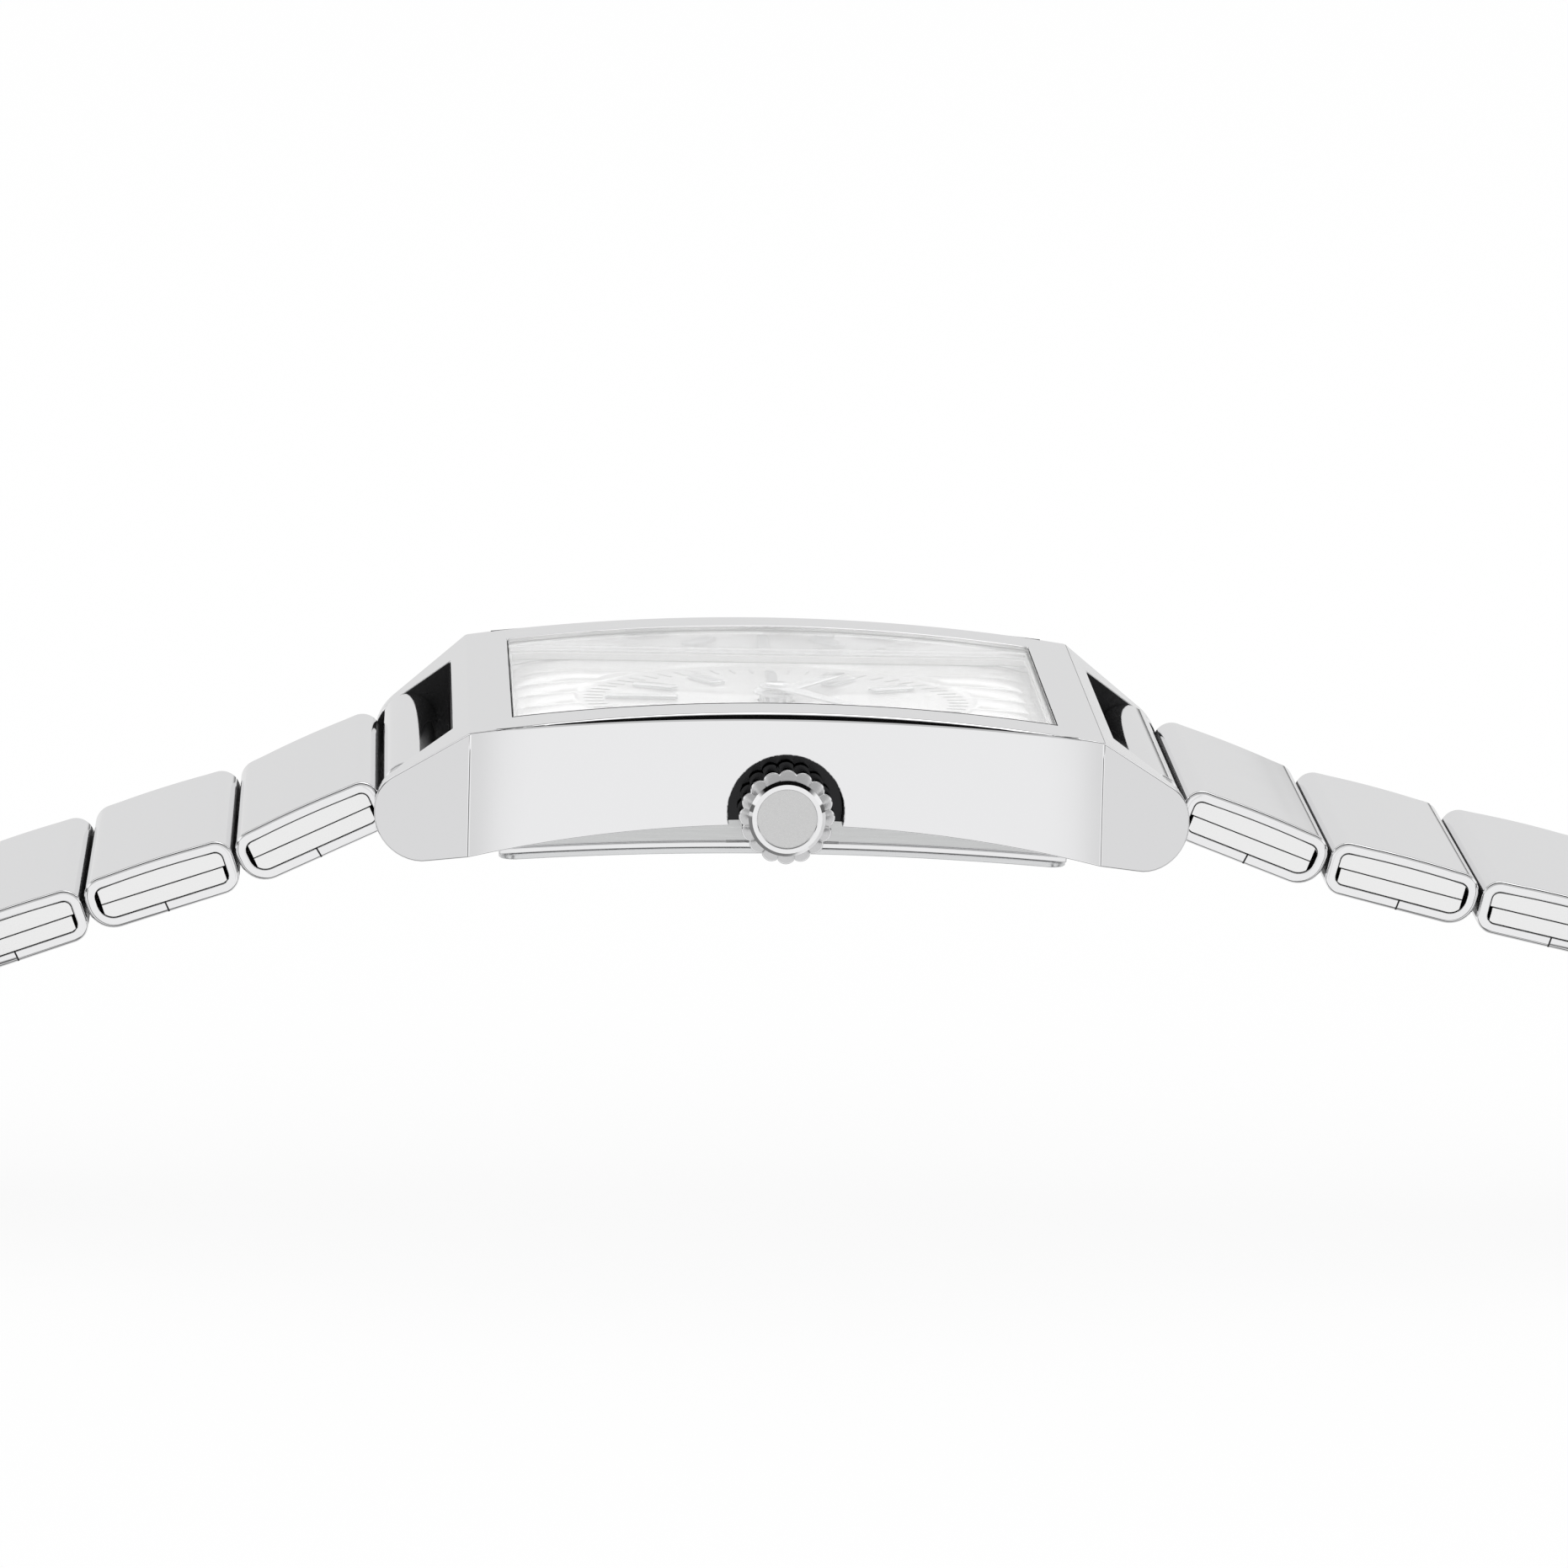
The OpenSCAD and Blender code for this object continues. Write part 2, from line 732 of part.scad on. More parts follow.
// Bracelet. A link is drawn with its inner hinge at the origin, Y outward and Z up.
module lay(strand, slopes, n) {
    place = chain_end(slopes, n - 1);
    mirror([0, strand < 0 ? 1 : 0, 0])
        translate([0, place[0], place[1]])
            rotate([-slopes[n - 1], 0, 0])
                children();
}

// Room for a tongue that leaves a hinge at `rest` degrees below level and swings on inward
module tongue_slot(rest, free = 0) {
    top = -rest - stop_angle + free;
    low = -rest - bend_max - 60 - free;
    reach = 3;
    along_x(notch_w)
        polygon(concat([[0, 0]], turn_points([0, 0], reach, low, top, 2)));
}

// Side outline of a link, or of its window where the inset is the sheet's thickness
function link_outline(inset = 0) =
    let (
        inner = inner_u + link_corner_r,
        outer = pitch + half_t - link_nose_r,
        v = half_t - link_corner_r,
        w = half_t - link_nose_r,
        top = half_t - inset
    )
    concat(
        turn_points([inner, -v], link_corner_r - inset, 270, 180, 8),
        turn_points([inner, v], link_corner_r - inset, 180, 90, 8),
        [for (i = [1:9]) let (t = i / 10) [inner + t * (outer - inner), top + 4 * link_crown * t * (1 - t)]],
        turn_points([outer, w], link_nose_r - inset, 90, 0, 8),
        turn_points([pitch, 0], top, 0, -90, 10)
    );

module link_shell(rest) {
    seam = inner_u + seam_at;
    color(steel)
    difference() {
        along_x(link_w)
            polygon(link_outline());
        along_x(link_w + 2) {
            polygon(link_outline(sheet_t));
            polygon([
                [seam, -window_h + 0.1], [seam + seam_w, -window_h + 0.1],
                [seam - 0.2 + seam_w, -link_t], [seam - 0.2, -link_t]
            ]);
        }
        translate([0, pitch, 0])
            tongue_slot(rest);
        translate([-notch_w / 2, inner_u - 1, -tongue_low - 0.06])
            cube([notch_w, sheet_t + 1.2, tongue_t + 0.12]);
    }
}

module hinge_tongue(bore, outer, reach) {
    difference() {
        union() {
            rod(outer, -tongue_w / 2, tongue_w / 2);
            translate([-tongue_w / 2, 0, -tongue_low])
                cube([tongue_w, reach, tongue_t]);
        }
        rod(bore, -tongue_w, tongue_w);
    }
}

module link_strip(bore, outer) {
    half_w = link_w / 2 - 0.05;
    in_u = inner_u + sheet_t + plate_clear;
    color(satin)
    union() {
        difference() {
            along_x(2 * half_w)
                difference() {
                    polygon(link_outline(sheet_t + plate_clear));
                    translate([plate_end, -link_t])
                        square([link_t, 2 * link_t]);
                    translate([0, -plate_gap / 2])
                        square([link_len + link_t, plate_gap]);
                    translate([0, -link_t])
                        square([in_u + plate_step, link_t]);
                }
            translate([-notch_w / 2, pitch - eye_r - 0.1, -link_t])
                cube([notch_w, 3, 2 * link_t]);
        }
        rod(pin_r, -notch_w / 2 - 1.5, notch_w / 2 + 1.5, pitch, 0);
        hinge_tongue(bore, outer, in_u + 0.6);
    }
}

module end_link(strand, rest) {
    color(steel)
    mirror([0, strand < 0 ? 1 : 0, 0])
        translate([0, bar_y, bar_z])
            difference() {
                rod(half_t, -link_w / 2, link_w / 2);
                rod(bar_eye_bore, -link_w, link_w);
                rod(bar_eye_r + 0.06, -notch_w / 2, notch_w / 2);
                tongue_slot(rest, end_link_turn + 1);
            }
}

module link_body(strand, slopes, n, part, last_slope) {
    next = n < len(slopes) ? slopes[n] : last_slope;
    first = n == 1;
    lay(strand, slopes, n) {
        if (part == "shell")
            link_shell(next - slopes[n - 1]);
        else
            link_strip(first ? bar_eye_bore : eye_bore, first ? bar_eye_r : eye_r);
    }
}

// End of the lower strand: a short frame that holds the bar for the hook
module catch_block(width, from, to, height) {
    r = height / 2;
    rod(r, -width / 2, width / 2, from + r, 0);
    rod(r, -width / 2, width / 2, to - r, 0);
    translate([-width / 2, from + r, -r])
        cube([width, to - from - height, height]);
}

module catch_link() {
    inner = inner_u + 0.05;
    color(steel)
    lay(-1, lower_slopes, lower_count + 1)
        difference() {
            union() {
                hinge_tongue(eye_bore, eye_r, inner + 0.6);
                catch_block(catch_w, inner, catch_len, 2 * foot_v);
            }
            translate([catch_arm - catch_w / 2, inner + 2, -2])
                cube([catch_w - 2 * catch_arm, catch_len, 4]);
            rod(catch_bar_r + 0.01, -catch_w, catch_w, catch_bar_u, 0);
        }
}

module catch_bar() {
    color(steel)
    lay(-1, lower_slopes, lower_count + 1)
        rod(catch_bar_r, -catch_w / 2, catch_w / 2, catch_bar_u, 0);
}

// End of the upper strand: a blade that ends in a hook, under a hinged cover
module clasp_blade() {
    color(steel)
    lay(1, clasp_chain, upper_count + 1)
        difference() {
            union() {
                hinge_tongue(eye_bore, eye_r, inner_u + 0.6);
                translate([-blade_w / 2, inner_u, -1])
                    cube([blade_w, blade_head - inner_u, 0.95 + cover_hinge_v]);
                rod(knuckle_r, -blade_w / 2, blade_w / 2, cover_hinge_u, cover_hinge_v);
                along_x(blade_w)
                    polygon([
                        [inner_u + 1, -1], [clasp_len - 1.2, -clasp_foot_v], [clasp_len, -clasp_foot_v],
                        [clasp_len, 0.2], [clasp_len - 2.6, 0.2], [clasp_len - 2.6, -0.3],
                        [clasp_len - blade_t, -0.3], [clasp_len - blade_t, blade_t - clasp_foot_v],
                        [blade_head, -1 + blade_t], [inner_u + 1, -1 + blade_t]
                    ]);
            }
            rod(cover_pin_r, -far / 2, far / 2, cover_hinge_u, cover_hinge_v);
        }
}

module clasp_hinge_pin() {
    color(satin)
    lay(1, clasp_chain, upper_count + 1)
        rod(cover_pin_r, -link_w / 2, link_w / 2, cover_hinge_u, cover_hinge_v);
}

module clasp_cover() {
    to = clasp_len - 0.6;
    color(steel)
    lay(1, clasp_chain, upper_count + 1)
        difference() {
            union() {
                translate([-link_w / 2, cover_hinge_u, cover_lift])
                    cube([link_w, to - cover_hinge_u, cover_t]);
                for (s = [-1, 1]) {
                    from = s > 0 ? link_w / 2 - cover_t : -link_w / 2;
                    translate([from, cover_hinge_u, -cover_side])
                        cube([cover_t, to - cover_hinge_u, cover_lift + cover_side + step_over]);
                    rod(cover_swing, from, from + cover_t, cover_hinge_u, cover_hinge_v);
                }
            }
            rod(cover_pin_r + running, -far / 2, far / 2, cover_hinge_u, cover_hinge_v);
        }
}

case_middle();
crystal();
crystal_gasket();
dial();
hour_markers();
movement_holder();
main_plate();
bridge_plate();
battery();
coil();
circuit_board();
hour_wheel();
hour_hand();
cannon_pinion();
minute_hand();
case_back();
case_back_gasket();
crown();
stem();
crown_gasket();
crown_tube();
spring_bars();
end_link(-1, lower_slopes[0]);  // lower_end_link
end_link(1, upper_slopes[0]);  // upper_end_link
for (i = [1:lower_count]) {
    link_body(-1, lower_slopes, i, "shell");
    link_body(-1, lower_slopes, i, "strip");
}
for (i = [1:upper_count]) {
    link_body(1, upper_slopes, i, "shell", clasp_slope);
    link_body(1, upper_slopes, i, "strip");
}
catch_link();
catch_bar();
clasp_blade();
clasp_hinge_pin();
clasp_cover();
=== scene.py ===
"""Looks of a rectangular wristwatch with an arched case, on a folded-link bracelet.

Lengths are written in millimetres and turned to metres where a mesh is made.
X points to 3 o'clock, Y to 12 o'clock and Z out of the dial.
"""

from __future__ import annotations

import json
import logging
import math
from dataclasses import dataclass, field
from enum import Enum
from typing import Any, Callable, Iterable, Sequence, Union

import bmesh
import bpy
from mathutils import Matrix, Vector

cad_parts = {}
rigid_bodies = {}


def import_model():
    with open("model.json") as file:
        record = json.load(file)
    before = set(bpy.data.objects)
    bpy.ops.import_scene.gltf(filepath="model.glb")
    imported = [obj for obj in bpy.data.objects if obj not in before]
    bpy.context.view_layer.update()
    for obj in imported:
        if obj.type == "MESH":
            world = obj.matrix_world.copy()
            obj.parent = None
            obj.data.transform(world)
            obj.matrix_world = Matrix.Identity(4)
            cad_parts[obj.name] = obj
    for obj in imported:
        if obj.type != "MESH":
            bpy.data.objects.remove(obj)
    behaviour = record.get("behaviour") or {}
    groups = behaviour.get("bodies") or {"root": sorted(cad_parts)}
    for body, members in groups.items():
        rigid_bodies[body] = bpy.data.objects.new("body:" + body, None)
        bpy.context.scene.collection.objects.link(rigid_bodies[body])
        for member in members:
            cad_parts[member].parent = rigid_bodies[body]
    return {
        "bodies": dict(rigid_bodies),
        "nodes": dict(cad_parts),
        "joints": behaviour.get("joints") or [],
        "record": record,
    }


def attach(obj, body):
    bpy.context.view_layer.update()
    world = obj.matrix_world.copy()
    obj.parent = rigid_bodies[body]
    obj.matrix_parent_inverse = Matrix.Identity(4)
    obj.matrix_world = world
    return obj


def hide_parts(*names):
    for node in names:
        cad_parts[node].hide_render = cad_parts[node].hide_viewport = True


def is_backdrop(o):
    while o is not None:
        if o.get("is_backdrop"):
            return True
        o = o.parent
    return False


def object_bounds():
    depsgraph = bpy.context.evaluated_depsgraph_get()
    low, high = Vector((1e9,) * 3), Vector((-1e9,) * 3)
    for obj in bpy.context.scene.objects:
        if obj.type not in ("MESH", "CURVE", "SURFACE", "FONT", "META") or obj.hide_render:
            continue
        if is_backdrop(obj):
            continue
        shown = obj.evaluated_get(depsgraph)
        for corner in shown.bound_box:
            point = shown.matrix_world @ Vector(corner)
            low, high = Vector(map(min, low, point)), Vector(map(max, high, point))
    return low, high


MM = 0.001
WHITE = "#FFFFFF"
NOISE_SPAN = (0.3, 0.7)  # what a noise texture gives nearly everywhere
NOISE_OCTAVES = 3.0
GRAIN_DEPTH = 0.01 * MM  # depth that a bump of strength 1 stands for
MINUTES = 60
FAR = 1000.0  # metres: a divisor that leaves a coordinate out
SHARP_DEG = 40.0  # edges that turn by more than this stay sharp in the shading
HALF_TURN = 180.0  # degrees
log = logging.getLogger("watch")

Tree = bpy.types.NodeTree
Node = bpy.types.Node
Socket = bpy.types.NodeSocket
Feed = Union[Socket, Node]
Mesh = bpy.types.Mesh
Spot = tuple[float, float]
Place = Callable[[float, float], Spot]
Stops = Sequence[tuple[float, str]]
Piece = bpy.types.Object


class Strand(Enum):
    """The two halves of the open bracelet, with the side of the case that each leaves."""

    LOWER = -1
    UPPER = 1

    @property
    def prefix(self) -> str:
        """Start of the strand's node and body names."""
        return self.name.lower()


# Small helpers


def linear(hex_colour: str) -> tuple[float, float, float, float]:
    """Turn an sRGB hex colour to linear light.

    Args:
        hex_colour: Six hex digits after a hash.

    Returns:
        Red, green, blue and an alpha of 1.
    """
    levels = [int(hex_colour[i : i + 2], 16) / 255 for i in (1, 3, 5)]
    return (*(c / 12.92 if c <= 0.04045 else ((c + 0.055) / 1.055) ** 2.4 for c in levels), 1.0)


def add(tree: Tree, kind: str, inputs: dict[Any, Any] | None = None, **settings: Any) -> Node:
    """Add a node with its settings and links.

    Args:
        tree: Tree that gets the node.
        kind: Blender's name of the node type.
        inputs: Input socket name or number to what it gets: a value, an output socket, a node whose
            first output feeds it, or a list of these.
        settings: Properties of the node.

    Returns:
        The new node.
    """
    node = tree.nodes.new(kind)
    for key, value in settings.items():
        setattr(node, key, value)
    for key, value in (inputs or {}).items():
        parts = value if isinstance(value, list) else [value]
        feeds = [part.outputs[0] if isinstance(part, Node) else part for part in parts]
        if isinstance(feeds[0], Socket):
            for feed in feeds:
                tree.links.new(feed, node.inputs[key])
        else:
            node.inputs[key].default_value = value
    return node


def emptied(owner: bpy.types.Material | bpy.types.World) -> Tree:
    """Empty the node tree of a material or world.

    Args:
        owner: The material or world.

    Returns:
        Its tree, with nothing in it.
    """
    owner.use_nodes = True
    owner.node_tree.nodes.clear()
    return owner.node_tree


def settle(piece: Piece) -> Piece:
    """Turn a piece's modifiers into plain mesh.

    Args:
        piece: The piece.

    Returns:
        The same piece, with its final mesh and no modifier.
    """
    seen = piece.evaluated_get(bpy.context.evaluated_depsgraph_get())
    mesh = bpy.data.meshes.new_from_object(seen)
    mesh.name = piece.name
    old = piece.data
    piece.modifiers.clear()
    piece.data = mesh
    bpy.data.meshes.remove(old)
    return piece


def new_piece(name: str, data: bpy.types.ID) -> Piece:
    """Put a mesh, lamp or camera in the scene.

    Args:
        name: Name of the piece.
        data: The mesh, lamp or camera.

    Returns:
        The piece, at the origin.
    """
    piece = bpy.data.objects.new(name, data)
    bpy.context.scene.collection.objects.link(piece)
    return piece


def shade(piece: Piece, sharp_deg: float = SHARP_DEG) -> Piece:
    """Shade a piece smooth, with its flats flat and its sharp edges sharp.

    Args:
        piece: The piece.
        sharp_deg: Edges that turn by more than this stay sharp.

    Returns:
        The same piece.
    """
    piece.data.shade_smooth()
    piece.data.set_sharp_from_angle(angle=math.radians(sharp_deg))
    weighted = piece.modifiers.new("shading", "WEIGHTED_NORMAL")
    weighted.keep_sharp = True
    return settle(piece)


# Finishes


@dataclass(frozen=True)
class Finish:
    """A material with its own procedural surface.

    Args:
        name: Name of the material.
        colour: sRGB hex colour.
        roughness: Mean roughness.
        metallic: 1 for bare metal.
    """

    name: str
    colour: str
    roughness: float
    metallic: float = 0.0

    def material(self) -> bpy.types.Material:
        """Make the finish's material on its first use.

        Returns:
            The material.
        """
        found = bpy.data.materials.get(self.name)
        if found:
            return found
        made = bpy.data.materials.new(self.name)
        tree = emptied(made)
        shader = add(tree, "ShaderNodeBsdfPrincipled", {
            "Base Color": linear(self.colour), "Roughness": self.roughness, "Metallic": self.metallic})
        place = add(tree, "ShaderNodeTexCoord").outputs["Object"]
        add(tree, "ShaderNodeOutputMaterial", {"Surface": self.dress(tree, shader, place)})
        return made

    def dress(self, tree: Tree, shader: Node, place: Socket) -> Node:
        """Leave the surface plain."""
        return shader


def vary(tree: Tree, place: Socket, grain_mm: float, low: float, high: float,
         stretch: Sequence[float] = (1, 1, 1)) -> tuple[Node, Node]:
    """Make a noise of a real size, as it is and mapped to a range.

    Args:
        tree: Material tree.
        place: Coordinate in metres.
        grain_mm: Size of a grain.
        low: Mapped value at the noise's lower end.
        high: Mapped value at its upper end.
        stretch: How many times the grain is drawn out along each axis.

    Returns:
        The mapped value and the raw noise.
    """
    moved = add(tree, "ShaderNodeMapping", {"Vector": place, "Scale": [1 / s for s in stretch]})
    noise = add(tree, "ShaderNodeTexNoise", {
        "Vector": moved, "Scale": 1 / (grain_mm * MM), "Detail": NOISE_OCTAVES})
    mapped = add(tree, "ShaderNodeMapRange", {
        "Value": noise, "From Min": NOISE_SPAN[0], "From Max": NOISE_SPAN[1], "To Min": low, "To Max": high})
    return mapped, noise


def roughen(tree: Tree, shader: Node, rough: Node, grain: Node, depth: float) -> Node:
    """Give a shader a varied roughness and a raised grain.

    Args:
        tree: Material tree.
        shader: The shader.
        rough: Its roughness.
        grain: Height of the grain.
        depth: Strength of the bump.

    Returns:
        The same shader.
    """
    bump = add(tree, "ShaderNodeBump", {"Height": grain, "Strength": depth, "Distance": GRAIN_DEPTH})
    tree.links.new(rough.outputs[0], shader.inputs["Roughness"])
    tree.links.new(bump.outputs[0], shader.inputs["Normal"])
    return shader


@dataclass(frozen=True)
class PolishedSteel(Finish):
    """Stainless steel buffed on a cloth wheel: a clear mirror, hazier in soft patches.

    Args:
        haze: How much rougher the patches are.
        patch_mm: Size of a patch.
    """

    haze: float = 0.02
    patch_mm: float = 2.4

    def dress(self, tree: Tree, shader: Node, place: Socket) -> Node:
        """Haze the mirror in patches.

        Args:
            tree: Material tree.
            shader: Its shader.
            place: Coordinate in metres.

        Returns:
            The shader.
        """
        rough, _ = vary(tree, place, self.patch_mm, self.roughness, self.roughness + self.haze)
        tree.links.new(rough.outputs[0], shader.inputs["Roughness"])
        return shader


@dataclass(frozen=True)
class BrushedSteel(Finish):
    """Steel drawn over a belt: fine parallel lines that widen the shine across them.

    Args:
        along: How many times a line is longer than wide, along each axis.
        line_mm: Width of a line.
        depth: Strength of the bump.
        spread: How far the roughness goes below and above its mean.
    """

    along: tuple[float, float, float] = (1, 30, 1)
    line_mm: float = 0.06
    depth: float = 0.1
    spread: tuple[float, float] = (0.05, 0.07)

    def dress(self, tree: Tree, shader: Node, place: Socket) -> Node:
        """Draw the lines.

        Args:
            tree: Material tree.
            shader: Its shader.
            place: Coordinate in metres.

        Returns:
            The shader.
        """
        low, high = self.roughness - self.spread[0], self.roughness + self.spread[1]
        return roughen(tree, shader, *vary(tree, place, self.line_mm, low, high, self.along), self.depth)


@dataclass(frozen=True)
class Grained(Finish):
    """An evenly grained surface, such as blasted steel, moulded plastic, rubber or lacquer.

    Args:
        grain_mm: Size of a grain.
        depth: Strength of the bump.
        spread: How far the roughness goes to both sides of its mean.
    """

    grain_mm: float = 0.08
    depth: float = 0.2
    spread: float = 0.05

    def dress(self, tree: Tree, shader: Node, place: Socket) -> Node:
        """Raise the grain.

        Args:
            tree: Material tree.
            shader: Its shader.
            place: Coordinate in metres.

        Returns:
            The shader.
        """
        low, high = self.roughness - self.spread, self.roughness + self.spread
        return roughen(tree, shader, *vary(tree, place, self.grain_mm, low, high), self.depth)


@dataclass(frozen=True)
class DialLacquer(Grained):
    """Fine even grain below a glossy skin of clear lacquer that draws each rib as a line.

    Args:
        skin_roughness: Roughness of the skin.
    """

    skin_roughness: float = 0.05

    def dress(self, tree: Tree, shader: Node, place: Socket) -> Node:
        """Put the skin over the grain.

        Args:
            tree: Material tree.
            shader: Its shader.
            place: Coordinate in metres.

        Returns:
            The shader.
        """
        shader.inputs["Coat Weight"].default_value = 1.0
        shader.inputs["Coat Roughness"].default_value = self.skin_roughness
        return super().dress(tree, shader, place)


@dataclass(frozen=True)
class ClearGlass(Finish):
    """Clear, smooth glass or silicone. Shadow rays pass, so that the dial is lit through it.

    Args:
        ior: Index of refraction.
    """

    ior: float = 1.5

    def dress(self, tree: Tree, shader: Node, place: Socket) -> Node:
        """Let light through.

        Args:
            tree: Material tree.
            shader: Its shader.
            place: Coordinate in metres.

        Returns:
            The shader, mixed with a plain transparent one for shadow and diffuse rays.
        """
        shader.inputs["Transmission Weight"].default_value = 1.0
        shader.inputs["IOR"].default_value = self.ior
        path = add(tree, "ShaderNodeLightPath").outputs
        passing = add(tree, "ShaderNodeMath", {
            0: path["Is Shadow Ray"], 1: path["Is Diffuse Ray"]}, operation="MAXIMUM")
        through = add(tree, "ShaderNodeBsdfTransparent", {"Color": linear(WHITE)})
        return add(tree, "ShaderNodeMixShader", {0: passing, 1: shader, 2: through})


# A pixel of the picture is 0.04 mm on the watch. Finer grains and lines wouldn't show, so blasting, turning
# and brushing are drawn a few times coarser than they are.

# Buffed 316L stainless: neutral, near-white mirror.
CASE_STEEL = PolishedSteel("polished case steel", "#EFEFF0", 0.04, 1.0)
LINK_STEEL = PolishedSteel("polished link sheet", "#EFEFF0", 0.05, 1.0)
# Blanked strip, its cut ends left satin: a soft white, less of a mirror than the sheet round it.
STRIP_STEEL = BrushedSteel("drawn steel strip", "#F1F1F1", 0.08, 1.0, along=(30, 1, 1), depth=0.02)
# Dark fill in the closed seam, painted shade of its narrow slot: near black and dull.
SEAM_SHADE = Grained("seam oxide", "#1E1E1F", 0.6, 0.0, grain_mm=0.05, depth=0.3)
# Set-back band below the sides: lapped to a fine satin, and painted greyer than a mirror for the shade under
# the overhanging side.
SHADED_BAND_STEEL = BrushedSteel("lapped band steel", "#D2D3D3", 0.3, 1.0, along=(1, 40, 1), depth=0.04)
# Floor and wall of the crown's pocket: turned steel that keeps its shine, painted dark for the shade in the
# recess.
POCKET_SHADE_STEEL = Grained("dark turned steel", "#2E2E2F", 0.12, 1.0, grain_mm=0.12, depth=0.5, spread=0.05)
# Belt-finished back: hairlines along the bracelet.
BACK_STEEL = BrushedSteel("brushed back steel", "#DEDFE0", 0.25, 1.0, along=(1, 40, 1), line_mm=0.08)
# Glass-blasted disc of the crown: an even, dull grain without a mirror.
BLASTED_STEEL = Grained("blasted steel", "#D4D4D4", 0.3, 1.0, grain_mm=0.12, depth=1.0)
# Front of the crown's lobes: turned and lightly blasted, a soft shine.
SATIN_STEEL = Grained("satin turned steel", "#D0D0D1", 0.22, 1.0, grain_mm=0.1, depth=0.2)
# Painted shade between the lugs and in the gaps between links: dark milled steel, with a coarse speckle.
GAP_SHADE_STEEL = Grained("bare milled steel", "#2C2C2D", 0.45, 0.6, grain_mm=0.16, depth=0.6, spread=0.2)
# Hardened soda-lime glass: colourless, with reflections that are strong only at a low angle.
GLASS = ClearGlass("mineral glass", WHITE, 0.0, ior=1.4)
# Electroplated silver under clear lacquer: neutral, pale grey with a glossy skin.
SILVERED = DialLacquer("silvered dial lacquer", "#D8D8D7", 0.4, 0.0, grain_mm=0.05, depth=0.08)
# Pad-printed grey ink: flat and dull.
INK = Grained("printed grey ink", "#8E8F90", 0.5, 0.0, grain_mm=0.04, depth=0.1)
# Diamond-cut applied steel: a flat mirror, slightly darker than the buffed case.
APPLIED = PolishedSteel("cut applied steel", "#C6C7C8", 0.04, 1.0)
# Clear silicone ring under the glass: a low index, so that its edges hardly show.
GASKET_CLEAR = ClearGlass("clear silicone", WHITE, 0.0, ior=1.04)
# Moulded nitrile: near black with a dull skin.
GASKET_RUBBER = Grained("nitrile rubber", "#1C1C1E", 0.6, 0.0, grain_mm=0.1, depth=0.3)
# Injection-moulded acetal: off-white, evenly frosted by the mould.
HOLDER_PLASTIC = Grained("moulded acetal", "#E6E5DF", 0.45, 0.0, grain_mm=0.15, depth=0.25)
# Rolled and stamped brass: a fine grain, warm yellow.
PLATE_BRASS = Grained("rolled plate brass", "#CDB071", 0.3, 1.0, grain_mm=0.1, depth=0.15)
# Nickel over steel, drawn: long hairlines, slightly darker than the cell.
MOVEMENT_STEEL = BrushedSteel("nickelled bridge", "#C4C5C6", 0.25, 1.0, along=(1, 30, 1))
# Deep-drawn can of a button cell: short hairlines.
CELL_STEEL = BrushedSteel("nickelled cell can", "#CDCECF", 0.22, 1.0, along=(1, 12, 1))
# Enamelled copper wire, wound close: fine ridges with a soft shine.
WINDING = Grained("enamelled copper winding", "#B0683C", 0.3, 1.0, grain_mm=0.05, depth=0.5)
# Glass-fibre board under green solder lacquer: smooth and glossy.
BOARD = Grained("lacquered circuit board", "#1F4A2C", 0.25, 0.0, grain_mm=0.3, depth=0.1)


def put_on(piece: Piece, *finishes: Finish) -> None:
    """Give a piece its finishes.

    Args:
        piece: The piece.
        finishes: One for all its faces, or one for each material number in turn.
    """
    numbers = [face.material_index if len(finishes) > 1 else 0 for face in piece.data.polygons]
    piece.data.materials.clear()
    for finish in finishes:
        piece.data.materials.append(finish.material())
    piece.data.polygons.foreach_set("material_index", numbers)


def dress_faces(piece: Piece, finish: Finish, chosen: Callable[[Vector, Vector], bool]) -> None:
    """Give some of a piece's faces one more finish.

    Args:
        piece: The piece, which has its first finish on.
        finish: Finish of the chosen faces.
        chosen: Tells from a face's middle in millimetres and its normal whether it is one of them.
    """
    piece.data.materials.append(finish.material())
    for face in piece.data.polygons:
        if chosen(face.center / MM, face.normal):
            face.material_index = len(piece.data.materials) - 1


# Shapes


